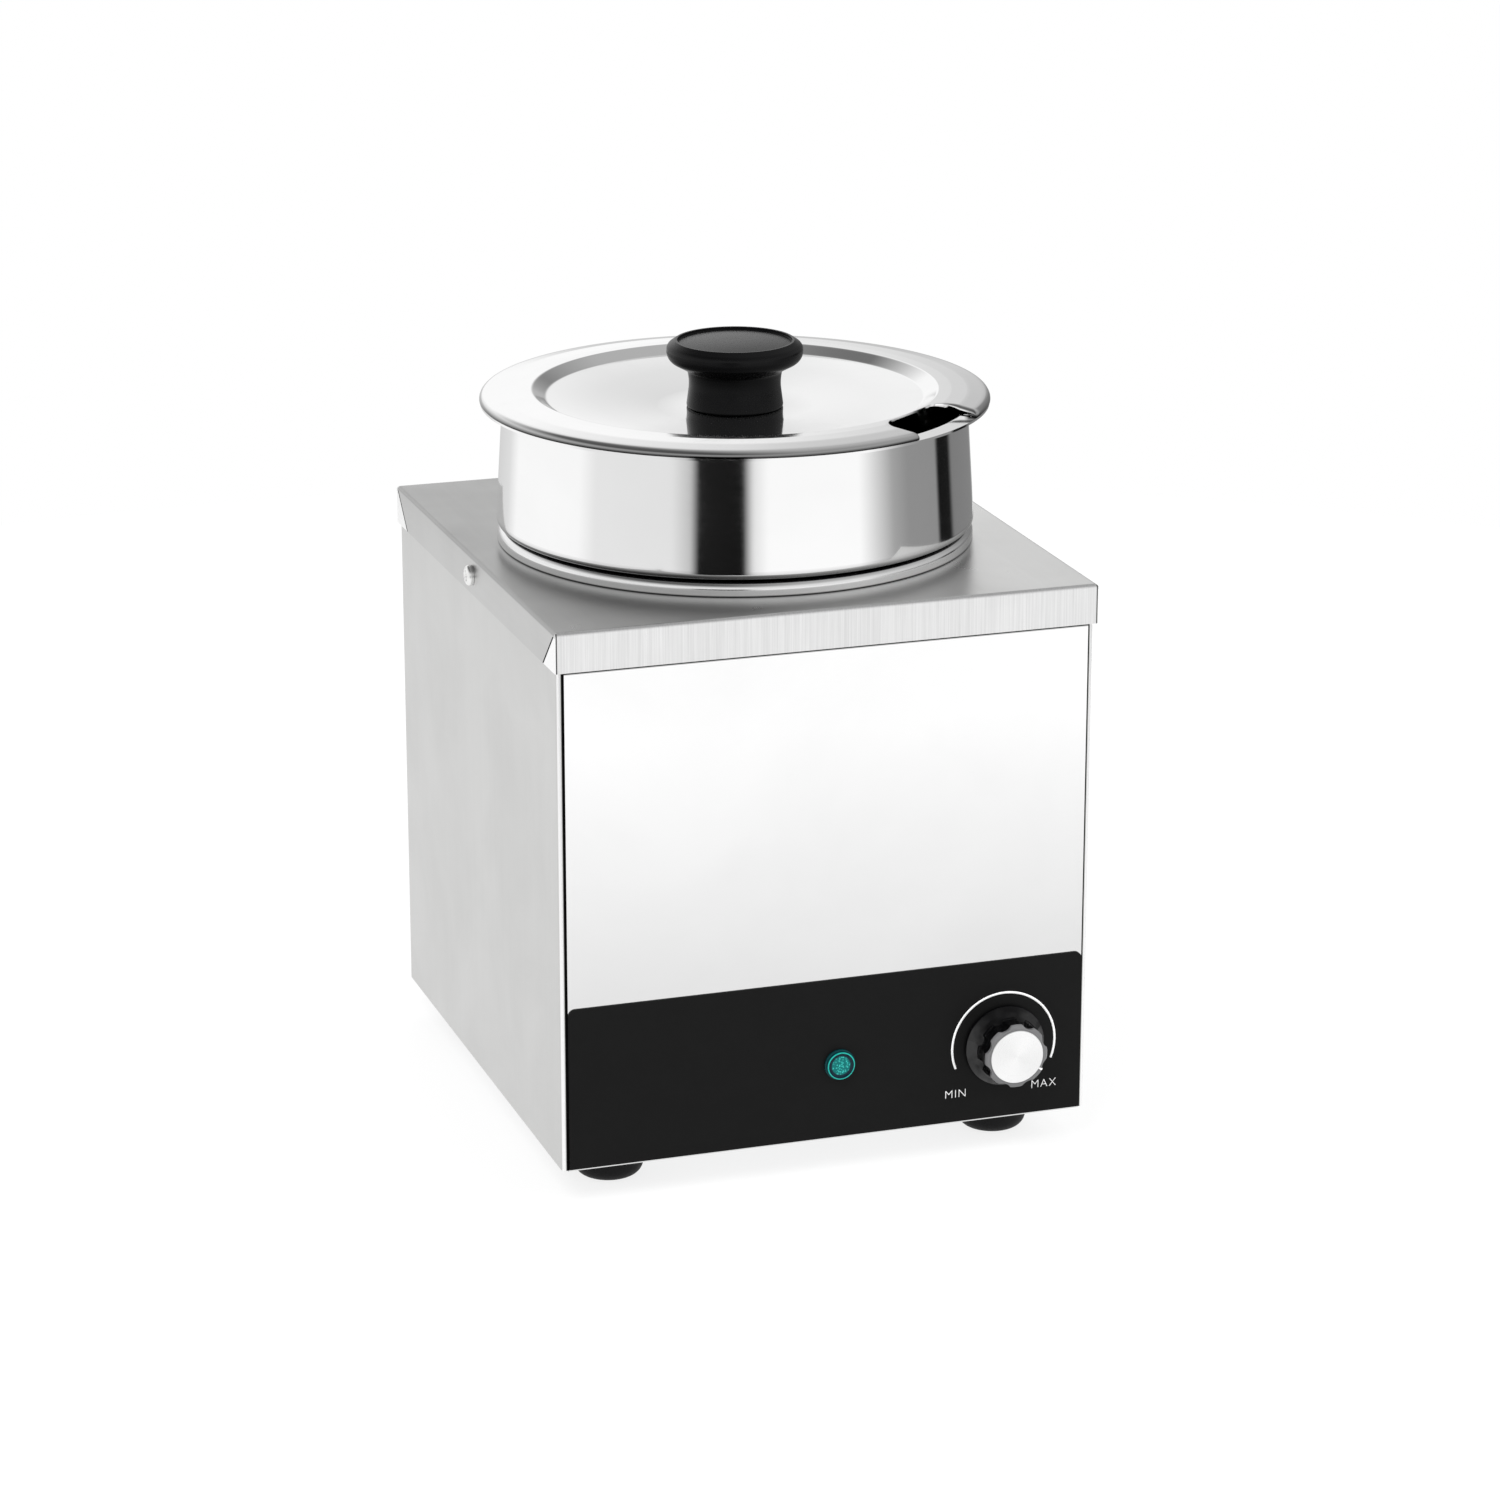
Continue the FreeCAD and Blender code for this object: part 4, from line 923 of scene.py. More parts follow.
@dataclass(frozen=True)
class Rim:
    """Ring of another tone about a front-facing axis, on what lies in front of a plane."""

    axis: Triple
    inner: float
    outer: float
    front: float
    tone: Colour

    def mask(self, graph: Graph) -> NodeSocket:
        """Gives 1 on the ring.

        Args:
            graph: The material's graph.

        Returns:
            The mask.
        """
        reach = graph.reach(self.axis, ROUND_Y)
        ring = graph.times(graph.rise(reach, self.inner - 0.1, self.inner),
                           graph.fall(reach, self.outer, self.outer + 0.15))
        return graph.times(ring, graph.fall(graph.split()["Y"], self.front, self.front + 0.2))


@dataclass(frozen=True)
class Moulding(Finish):
    """Moulded plastic, rubber, lacquer, ceramic or ink: a pebble grain with slow mottling."""

    metallic: ClassVar[float] = 0.0
    bump: ClassVar[float] = 0.35
    grain: float = 1500.0
    mottle: float = 0.25
    gloss: float = 0.5
    spread_of_gloss: float = 0.12
    coat: float = 0.0
    rim: Optional[Rim] = None

    def surface(self, graph: Graph) -> Surface:
        """Gives what feeds the shader.

        Args:
            graph: The material's graph.

        Returns:
            The shader's inputs and the relief's height.
        """
        cast = graph.effect(Effect.GRAIN, Size=self.grain)
        colour = graph.mix(graph.times(cast["Mottle"], self.mottle), self.tone, self.darker(0.5))
        if self.rim is not None:
            colour = graph.mix(self.rim.mask(graph), colour, self.rim.tone)
        rough = graph.spread(cast["Grain"], 0.2, 0.9, self.roughness, self.roughness + self.spread_of_gloss)
        coat = graph.spread(cast["Mottle"], 0.2, 0.8, 0.1 * self.coat, self.coat)
        return {"Base Color": colour, "Roughness": rough, "Coat Weight": coat, "Coat Roughness": 0.04,
                "Specular IOR Level": self.gloss}, cast["Grain"]


@dataclass(frozen=True)
class ZincSteel(Finish):
    """Zinc-coated sheet with its spangle."""

    bump: ClassVar[float] = 0.2
    spangle: float = 130.0
    grain: float = 700.0

    def surface(self, graph: Graph) -> Surface:
        """Gives what feeds the shader.

        Args:
            graph: The material's graph.

        Returns:
            The shader's inputs and the relief's height.
        """
        cells = graph.node("ShaderNodeTexVoronoi", {"Vector": graph.here(), "Scale": self.spangle})
        tint = graph.node("ShaderNodeSeparateColor", {0: cells.outputs["Color"]}).outputs["Red"]
        colour = graph.mix(tint, self.darker(0.3), self.tone)
        rough = graph.spread(tint, 0.0, 1.0, self.roughness, self.roughness + 0.2)
        cast = graph.effect(Effect.GRAIN, Size=self.grain)
        return {"Base Color": colour, "Roughness": rough}, cast["Grain"]


@dataclass(frozen=True)
class LensPlastic(Finish):
    """Tinted lens with a pebbled middle, a dark step and a painted highlight round its rim, about a front-facing axis.
    """

    metallic: ClassVar[float] = 0.0
    bump: ClassVar[float] = 0.5
    axis: Triple
    rim: float = 6.45
    pebbles: float = 1150.0
    # The bright stops at 0.85 and 0.88 are a painted highlight round the rim.
    rings: tuple[tuple[float, Colour], ...] = (
        (0.58, shade(0, 104, 102)), (0.63, shade(3, 36, 48)), (0.81, shade(2, 30, 42)), (0.85, shade(40, 186, 172)),
        (0.88, shade(30, 170, 158)), (0.91, shade(2, 52, 56)))

    def surface(self, graph: Graph) -> Surface:
        """Gives what feeds the shader.

        Args:
            graph: The material's graph.

        Returns:
            The shader's inputs and the relief's height.
        """
        scale = 1.0 / (self.rim * MM)
        reach = graph.reach(self.axis, (scale, 0.0, scale))
        cells = graph.node("ShaderNodeTexVoronoi", {"Vector": graph.here(), "Scale": self.pebbles}, feature="F1")
        pebble = graph.spread(cells.outputs["Distance"], 0.1, 0.5, 1.0, 0.0)
        glow = graph.times(pebble, graph.spread(reach, 0.57, 0.63, 1.0, 0.0))
        stepped = graph.mix(glow, graph.ramp(reach, self.rings), self.tone)
        return {"Base Color": stepped, "Emission Color": stepped, "Emission Strength": 0.06,
                "Specular IOR Level": 0.2}, glow


# ---------------------------------------------------------------- sub-assemblies


def attach(piece: Object, finish: Optional[Finish], body: Body, slot: str, *nodes: str) -> None:
    """Gives a piece its finish, its body and the nodes that it stands for.

    Args:
        piece: The finished piece.
        finish: Its finish, or None where it already has one.
        body: The body that it rides on.
        slot: The record's material slot; not used.
        nodes: The construction nodes that it replaces.
    """
    if finish is not None:
        piece.data.materials.clear()
        piece.data.materials.append(finish.material())
    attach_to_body(piece, body.value)
    if nodes:
        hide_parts(*nodes)
    LOG.info("%s: %d faces, rides on %s", piece.name, len(piece.data.polygons), body.value)


def dress(finish: Finish, *nodes: str) -> None:
    """Gives kept construction nodes a finish.

    Args:
        finish: The finish.
        nodes: Names of the nodes.
    """
    for name in nodes:
        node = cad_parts[name]
        node.data.materials.clear()
        node.data.materials.append(finish.material())
        LOG.info("%s: kept, %s", name, finish.name)


SCREW_STEEL = PlainMetal("screw steel", shade(252, 252, 251), 0.2)


@dataclass
class ScrewHead:
    """Pan-head screw with a cross recess, drawn along +Z from its seat."""

    head: float
    rise: float
    shank: float
    length: float
    cross: float = 0.55
    arm: float = 0.15
    sunk: float = 0.75
    taper: float = 0.6
    turn: float = 0.35
    over: float = 0.4
    dome: float = 0.6
    rounds: Triple = (0.15, 0.1, 0.4)

    def build(self, name: str) -> Object:
        """Makes the screw at the origin.

        Args:
            name: Name of the screw.

        Returns:
            The screw.
        """
        path = rounded([(0, self.rise), (self.head, self.rise), (self.head, 0), (self.shank, 0),
                        (self.shank, -self.length), (0, -self.length)], [self.dome * self.rise, *self.rounds],
                       turn=10.0, guard=0.15)
        screw = lathe(name, outline(path), stand(), 48)
        cutter = self.recess(name + "_recess")
        cut = screw.modifiers.new("cut", "BOOLEAN")
        cut.operation, cut.solver, cut.object = "DIFFERENCE", "EXACT", cutter
        mesh = freeze(screw)
        screw.modifiers.remove(cut)
        screw.data = mesh
        bpy.data.objects.remove(cutter)
        return screw

    def recess(self, name: str) -> Object:
        """Makes the cross that is cut out of the head.

        Args:
            name: Name of the cross.

        Returns:
            The cross.
        """
        shape, plan = bmesh.new(), []
        long, wide = self.cross * self.head, self.arm * self.head
        for quarter in range(4):
            swing = Matrix.Rotation(math.pi / 2 * quarter + self.turn, 2)
            plan += [swing @ Vector(spot) for spot in ((long, -wide), (long, wide), (wide, wide))]
        lower = [shape.verts.new((*(spot * self.taper), self.rise - self.sunk * self.rise)) for spot in plan]
        upper = [shape.verts.new((*spot, self.rise + self.over)) for spot in plan]
        shape.faces.new(lower)
        shape.faces.new(upper)
        join_rows(shape, lower, upper, len(plan))
        return close_mesh(name, shape, stand())


@dataclass
class Casing:
    """Sheet casing with its cover, base, feet and screws."""

    cover_screw: ScrewHead = field(default_factory=lambda: ScrewHead(head=4.3, rise=2.6, shank=2.0, length=6.0))
    base_screw: ScrewHead = field(default_factory=lambda: ScrewHead(head=3.2, rise=2.24, shank=1.75, length=4.2))
    foot_screw: ScrewHead = field(default_factory=lambda: ScrewHead(head=4.2, rise=2.94, shank=2.5, length=12.2))
    foot_radius: float = 14.2
    foot_rounds: tuple[float, ...] = (0.5, 5.5, 0.4, 0.2)
    foot_seat: float = 6.0
    foot_recess: float = 4.4
    foot_hole: float = 2.7
    rubber: Moulding = Moulding("foot rubber", shade(11, 11, 12), 0.5, grain=900.0, depth=0.04, mottle=0.3, gloss=0.2)

    def build(self) -> None:
        """Makes the feet and the screws, and dresses the sheets."""
        feet, cover, base = NodeBox.of("feet"), NodeBox.of("cover_screws"), NodeBox.of("base_screws")
        plate, head = NodeBox.of("base_plate"), self.base_screw.head
        tree, seat = Repeats.at_points(), feet.high.z - self.foot_seat
        spots = [(x, y) for x in (feet.low.x + self.foot_radius, feet.high.x - self.foot_radius)
                 for y in (feet.low.y + self.foot_radius, feet.high.y - self.foot_radius)]
        self.repeat(tree, "rubber_feet", self.foot(feet.high.z, seat), self.rubber, "foot_rubber", "feet",
                    [(x, y, 0) for x, y in spots], [Axis.UP] * len(spots))
        right, front = base.high.x - head, base.low.y + head
        spread = plate.middle.y - front
        under = [(x, y, plate.low.z) for x in (-right, right) for y in (front, front + 2 * spread)]
        under += [(x, base.high.y - head, plate.low.z) for x in (-spread, spread)]
        sides = [(side * (cover.high.x - self.cover_screw.rise), cover.middle.y, cover.middle.z) for side in (-1, 1)]
        seats = [(x, y, seat) for x, y in spots]
        for name, screw, places, facing in (
                ("cover", self.cover_screw, sides, [Axis.LEFT, Axis.RIGHT]),
                ("base", self.base_screw, under, [Axis.DOWN] * len(under)),
                ("foot", self.foot_screw, seats, [Axis.DOWN] * len(seats))):
            self.repeat(tree, name + "_screw_heads", screw.build(name + "_screw_one"), SCREW_STEEL, "fixing_steel",
                        name + "_screws", places, facing)
        for finish, node in self.finishes():
            dress(finish, node)
        dress(SCREW_STEEL, "foot_nuts")

    def finishes(self) -> list[tuple[Finish, str]]:
        """Lists the finishes of the cover, the walls, the front panel and the base plate.

        Returns:
            Each finish and its node.
        """
        cover, wall = NodeBox.of("top_cover"), NodeBox.of("casing_wrapper")
        half, right, lip = (cover.high.y - cover.low.y) / 2, cover.high.x, wall.high.x - 1.8
        # The folds take their own grain and a painted tone, lighter than the plate's painted shade, for the light that
        # they catch.
        fold = Fold((1700.0, 1700.0, 22.0), lines=0.15, tone=shade(238), middle=cover.middle.y, start=half - 1.5)
        # Painted highlight on the corner tabs of the cover, with painted shade along their slanted edges.
        painted_tab_highlight = PaintedCornerTabLight(right, cover.middle.y, half, cover.high.z)
        # Painted shade in the gap at each front corner of the cover.
        corner = PaintedLightZone(x=(right - 0.9, right - 0.4), y=(None, cover.low.y + 1.0), level=0.03)
        # Painted shade in the slit beside the front panel and on the wall behind the cover's flanges, and a painted
        # highlight along the wall's front bends.
        painted_seams_and_highlight = (PaintedLightZone(x=(None, lip), y=(None, wall.low.y + 1.2)), PaintedLightZone(z=(cover.low.z + 0.25, None)),
                 PaintedLightZone(x=(lip + 0.3, None), y=(None, wall.low.y + 0.9), z=(None, cover.low.z), level=0.97))
        # Painted shadow along the front panel just under the cover's flange.
        line = PaintedLightZone(z=(cover.low.z - 0.9, None), blur=0.3)
        # Painted shade: the cover's top is painted darker towards its left, and its folded-down flanges keep only a
        # part of it.
        across = PaintedShade("X", start=cover.low.x * 0.5, end=right * 0.8, share=0.57, height=cover.high.z - 1.0)
        # Painted shade: the front panel is painted darker towards its bottom.
        down = PaintedShade("Z", start=85.0, end=190.0, share=0.2)
        return [(BrushedSteel("cover brushed", shade(247, 247, 246), 0.27, (420.0, 6.0, 420.0), lines=0.016,
                              streaks=0.02, depth=0.05, fold=fold, painted_tab_highlight=painted_tab_highlight, painted_shade=across, marks=(corner,)),
                 "top_cover"),
                (BrushedSteel("wall satin", shade(210, 210, 209), 0.34, (380.0, 380.0, 5.0), lines=0.012,
                              streaks=0.01, depth=0.04, marks=painted_seams_and_highlight), "casing_wrapper"),
                (MirrorSteel("panel bright", shade(250), 0.05, haze=0.1, smudge=0.06, depth=0.12, size=11.0,
                             marks=(line,), painted_shade=down), "front_panel"),
                (ZincSteel("base zinc", shade(190, 192, 194), 0.32), "base_plate")]

    def foot(self, height: float, seat: float) -> Object:
        """Makes one rubber foot with its screw recess.

        Args:
            height: Height of the foot.
            seat: Height of the screw's seat.

        Returns:
            The foot.
        """
        path = rounded([(self.foot_hole, height), (self.foot_radius, height), (self.foot_radius, 0),
                        (self.foot_recess, 0), (self.foot_recess, seat), (self.foot_hole, seat)], self.foot_rounds)
        return lathe("foot", outline(path), stand(), 96)

    @staticmethod
    def repeat(tree: NodeTree, name: str, piece: Object, finish: Finish, slot: str, node: str,
               places: Sequence[Triple], facing: Sequence[Axis]) -> None:
        """Makes a set of feet or screws.

        Args:
            tree: The tree that stands a piece on each point.
            name: Name of the set.
            piece: One of them. It is removed.
            finish: Their finish.
            slot: The record's material slot.
            node: The construction node that the set replaces.
            places: Where they stand.
            facing: The way that each of them faces.
        """
        made = Repeats.run(name, Repeats.points(places, facing), tree, {"Piece": piece, "Finish": finish.material()})
        bpy.data.objects.remove(piece)
        attach(made, None, Body.CASING, slot, node)


@dataclass
class Vessel:
    """Heating well with its rolled rim, and the pot that hangs in it."""

    wall: float = 1.0
    well_radius: float = 90.0
    ring_rounds: Pair = (3.6, 1.4)
    floor_round: float = 8.0
    stud: float = 3.0
    heater_depth: float = 22.0
    pot_radius: float = 86.5
    band_low: float = 98.2
    band_high: float = 95.1
    seat: float = 0.3
    pot_rounds: tuple[float, ...] = (1.5, 2.5, 3.0, 12.0)

    def build(self) -> None:
        """Makes the well and the pot."""
        well, pot, cover = NodeBox.of("heating_well"), NodeBox.of("soup_pot"), NodeBox.of("top_cover").high.z
        # Painted shade round the foot of the rolled rim, where it stands on the cover.
        gap = PaintedLightZone(z=(cover - 2.0, cover + 0.45), blur=0.3)
        rolled = MirrorSteel("ring bright", shade(236), 0.1, haze=0.08, smudge=0.1, depth=0.04, size=18.0,
                             marks=(gap,))
        attach(self.well(well, cover), rolled, Body.CASING, "steel_bright", "heating_well")
        shoulder, band = well.high.z + self.seat, (self.pot_radius + 4.0, None)
        # Painted shade at the foot of the pot's band where it sits in the rim, with a nearly black painted line in the
        # gap.
        foot = PaintedLightZone(z=(None, shoulder + 1.6), reach=band, axis=pot.middle.y, blur=2.4, level=0.2)
        painted_seam_shade = PaintedLightZone(z=(None, shoulder + 0.9), reach=band, axis=pot.middle.y, blur=0.35)
        bright = MirrorSteel("pot bright", shade(243), 0.035, haze=0.05, smudge=0.06, depth=0.05, size=14.0,
                             marks=(foot, painted_seam_shade))
        attach(self.pot(pot, shoulder), bright, Body.POT, "steel_bright", "soup_pot")

    def well(self, box: NodeBox, cover: float) -> Object:
        """Makes the well's tank, rim and stud.

        Args:
            box: Box of the well.
            cover: Height of the cover that the rim stands on.

        Returns:
            The well.
        """
        ring, floor = box.high.x, box.low.z + self.heater_depth
        path = rounded([(ring, cover), (ring, box.high.z), (self.well_radius, box.high.z), (self.well_radius, floor),
                        (0, floor)], [*self.ring_rounds, self.floor_round])
        under = [s.beside(self.wall) for s in reversed(path)]
        stud = [(0, box.low.z), (self.stud, box.low.z), (self.stud, floor - self.wall)]
        return lathe("well_tank", outline(path) + stud + under[1:], stand((box.middle.x, box.middle.y, 0)))

    def pot(self, box: NodeBox, shoulder: float) -> Object:
        """Makes the pot.

        Args:
            box: Box of the pot.
            shoulder: Height of the shoulder that stands on the ring.

        Returns:
            The pot.
        """
        rim = box.high.z - self.wall
        path = rounded([(box.high.x, rim), (self.band_high, rim), (self.band_low, shoulder),
                        (self.pot_radius, shoulder), (self.pot_radius, box.low.z), (0, box.low.z)], self.pot_rounds)
        inside = [s.beside(-self.wall) for s in reversed(path)]
        return lathe("pot_shell", outline(path) + inside, stand((box.middle.x, box.middle.y, 0)))


@dataclass
class Notch:
    """Ladle notch in the lid's brim, seen along its own direction: a plain inner edge and turned-down sides."""

    angle: float = -51.0
    half: float = 22.0
    inner: float = 83.5
    corner: float = 7.0
    fold: float = 2.0

    @property
    def reach(self) -> float:
        """Radius of the fold's upper edge round the corner."""
        return self.corner + self.fold

    @property
    def bend(self) -> Vector:
        """Centre of the rounded corner."""
        return Vector((self.inner + self.reach, self.half - self.corner))

    @property
    def stretch(self) -> Pair:
        """Radii between which the rounded corner lies."""
        return math.hypot(self.inner, self.bend.y), math.hypot(self.bend.x, self.half + self.fold)

    def edge(self, radius: float) -> float:
        """Finds the fold's upper edge.

        Args:
            radius: Distance from the lid's axis.

        Returns:
            Its angle from the notch's middle.
        """
        if radius <= self.inner:
            return 0.0
        if radius <= self.stretch[0]:
            return math.acos(self.inner / radius)
        if radius >= self.stretch[1]:
            return math.asin((self.half + self.fold) / radius)
        low, high = 0.0, math.pi / 2
        for _ in range(40):
            turn = (low + high) / 2
            spot = self.bend + Vector((-math.cos(turn), math.sin(turn))) * self.reach
            low, high = (turn, high) if spot.length < radius else (low, turn)
        return math.atan2(spot.y, spot.x)

    def inward(self, radius: float) -> Vector:
        """Finds the way from the fold's upper edge into the notch, on its left side.

        Args:
            radius: Distance from the lid's axis.

        Returns:
            The way. Its first part is 1 at the inner edge and 0 at the sides.
        """
        if radius <= self.stretch[0]:
            return Vector((1.0, 0.0))
        if radius >= self.stretch[1]:
            return Vector((0.0, -1.0))
        turn = self.edge(radius)
        return (self.bend - Vector((math.cos(turn), math.sin(turn))) * radius).normalized()


@dataclass
class Lid:
    """Pressed lid with a recessed dish and a ladle notch, and its mushroom knob."""

    wall: float = 0.8
    skirt: float = 2.3
    crest: float = 95.0
    recess: float = 82.8
    floor: float = 77.4
    recess_depth: float = 3.2
    seat: float = 26.0
    hole: float = 2.7
    rounds: tuple[float, ...] = (2.6, 76.0, 2.0, 2.0, 120.0)
    clear: float = 0.3
    segments: int = 240
    lip_steps: int = 8
    lip_clear: float = 0.02
    near_notch: tuple[float, ...] = (0.0, 0.05, 0.2, 0.45, 0.8, 1.2, 1.6, 2.1, 2.7, 3.4, 4.2, 5.2, 6.4, 7.8, 9.4, 11.1,
                                     13.0, 15.0, 17.0, 19.0)
    notch: Notch = field(default_factory=Notch)
    grip: tuple[Pair, ...] = ((2.5, 0.0), (19.9, 0.0), (18.6, 10.0), (19.4, 15.2), (27.9, 19.8), (27.9, 25.2))
    grip_rounds: tuple[float, ...] = (1.0, 20.0, 3.0, 5.0, 3.0, 0.5, 0.24, 0.24, 180.0)
    grip_edge: float = 24.4
    grip_face: float = 23.4
    crown: float = 1.2
    bore: float = 16.0
    black: Moulding = Moulding("lid knob black", shade(12, 12, 13), 0.22, depth=0.01, gloss=0.14)

    def build(self) -> None:
        """Makes the lid and its knob, and dresses the knob's screw and washer."""
        pot = NodeBox.of("soup_pot")
        # Painted shade under the lid's outer edge.
        edge = PaintedLightZone(z=(None, pot.high.z + 1.7), reach=(99.0, None), axis=pot.middle.y, blur=1.1, level=0.05)
        # Painted shade: the middle of the lid's dish is painted a little darker.
        dish = PaintedLightZone(reach=(None, 66.0), axis=pot.middle.y, blur=9.0, level=0.85)
        bright = MirrorSteel("lid bright", shade(247), 0.045, haze=0.06, smudge=0.07, depth=0.05, size=15.0,
                             marks=(edge, dish))
        attach(self.shell(pot), bright, Body.LID, "steel_bright", "lid")
        attach(self.knob(), self.black, Body.LID, "knob_black", "lid_knob")
        dress(SCREW_STEEL, "lid_knob_screw", "lid_knob_washer")

    def upper(self, box: NodeBox, edge: float) -> list[Station]:
        """Follows the lid's upper face from its lower edge to the screw hole.

        Args:
            box: Box of the lid.
            edge: Height of the lower edge.

        Returns:
            Stations, with more of them along the notch.
        """
        top, rim, seat = box.high.z, box.high.x, NodeBox.of("lid_knob").low.z
        path = rounded([(rim, edge), (rim, edge + self.skirt), (self.crest, top), (self.recess, top),
                        (self.floor, top - self.recess_depth), (self.seat, seat), (self.hole, seat)], self.rounds)
        wanted = sorted((self.notch.inner + step for step in self.near_notch), reverse=True)
        dense: list[Station] = []
        for one, two in zip(path, path[1:]):
            dense.append(one)
            for radius in wanted:
                if one.r > radius > two.r and one.h > edge + self.skirt / 2:
                    share = (one.r - radius) / (one.r - two.r)
                    run = Vector(one.run).lerp(Vector(two.run), share).normalized()
                    dense.append(Station(radius, one.h + (two.h - one.h) * share, (run.x, run.y)))
        return dense + [path[-1]]

    def shell(self, pot: NodeBox) -> Object:
        """Makes the pressed sheet, with the turned-down edge of the notch.

        Args:
            pot: Box of the pot that it lies on.

        Returns:
            The sheet.
        """
        box, edge, shape = NodeBox.of("lid"), pot.high.z + self.clear, bmesh.new()
        path = self.upper(box, edge)
        tops = [self.ring(shape, s.r, (s.r, s.h)) for s in path]
        unders = [self.ring(shape, s.r, s.beside(self.wall)) for s in path]
        for rings in (tops, unders, (tops[0], unders[0]), (tops[-1], unders[-1])):
            for one, two in zip(rings, rings[1:]):
                join_rows(shape, one, two, self.segments)
        for end, side in ((0, 1), (self.segments, -1)):
            folded = [self.lip(shape, s.r, (top[end], under[end]), side, edge)
                      for s, top, under in zip(path, tops, unders) if s.r >= self.notch.inner - NEAR]
            for one, two in zip(folded, folded[1:]):
                join_rows(shape, one, two, len(one) - 1)
        return close_mesh("lid_shell", shape, stand((box.middle.x, pot.middle.y, 0)), crease=40.0)

    def ring(self, shape: BMesh, radius: float, spot: Pair) -> list[BMVert]:
        """Draws one ring of the lid, open at the notch.

        Args:
            shape: The shape to draw in.
            radius: Radius that sets how wide the notch is.
            spot: Radius and height of the ring.

        Returns:
            The ring's points.
        """
        gap, ring = self.notch.edge(radius), []
        for step in range(self.segments + 1):
            turn = math.radians(self.notch.angle) + gap + (2 * math.pi - 2 * gap) * step / self.segments
            ring.append(shape.verts.new((spot[0] * math.cos(turn), spot[0] * math.sin(turn), spot[1])))
        return ring

    def lip(self, shape: BMesh, radius: float, ends: tuple[BMVert, BMVert], side: int, low: float) -> list[BMVert]:
        """Draws the section of the turned-down edge at one station.

        Args:
            shape: The shape to draw in.
            radius: Radius of the station.
            ends: The ring's end on the upper face and on the lower one.
            side: 1 for the left side of the notch and -1 for the right.
            low: Height of the lid's lower edge.

        Returns:
            The section's points, from the upper face round to the lower one.
        """
        way, (top, under) = self.notch.inward(radius), ends
        into = (Matrix.Rotation(math.radians(self.notch.angle), 2) @ Vector((way.x, way.y * side))).to_3d()
        share = 1.0 - way.x
        fold = max(0.0, min(self.notch.fold * share, top.co.z - low - self.lip_clear))
        foot = low + (max(low, top.co.z - self.wall) - low) * (1 - share)
        points = [top]
        for step in range(1, self.lip_steps + 1):
            turn = math.pi / 2 * step / self.lip_steps
            drop = Vector((0, 0, fold * (1 - math.cos(turn))))
            points.append(shape.verts.new(top.co + into * fold * math.sin(turn) - drop))
        out, back = top.co + into * fold, top.co + into * (fold - self.wall * share)
        bent = top.co.z - fold
        for spot, height in ((out, min(foot, bent)), (back, min(foot, bent)), (back, max(low, min(under.co.z, bent)))):
            points.append(shape.verts.new((spot.x, spot.y, height)))
        return points + [under]

    def knob(self) -> Object:
        """Makes the mushroom knob.

        Returns:
            The knob.
        """
        box, face = NodeBox.of("lid_knob"), self.grip_face
        high = box.high.z - box.low.z
        path = rounded([*self.grip, (self.grip_edge, high), (face, high), (face, high - self.crown), (face / 2, high),
                        (0, high)], self.grip_rounds, turn=1.5, guard=0.3)
        hole = [(0, self.bore), (self.grip[0][0], self.bore)]
        return lathe("lid_grip", outline(path) + hole, stand((box.middle.x, box.middle.y, box.low.z)), 160)


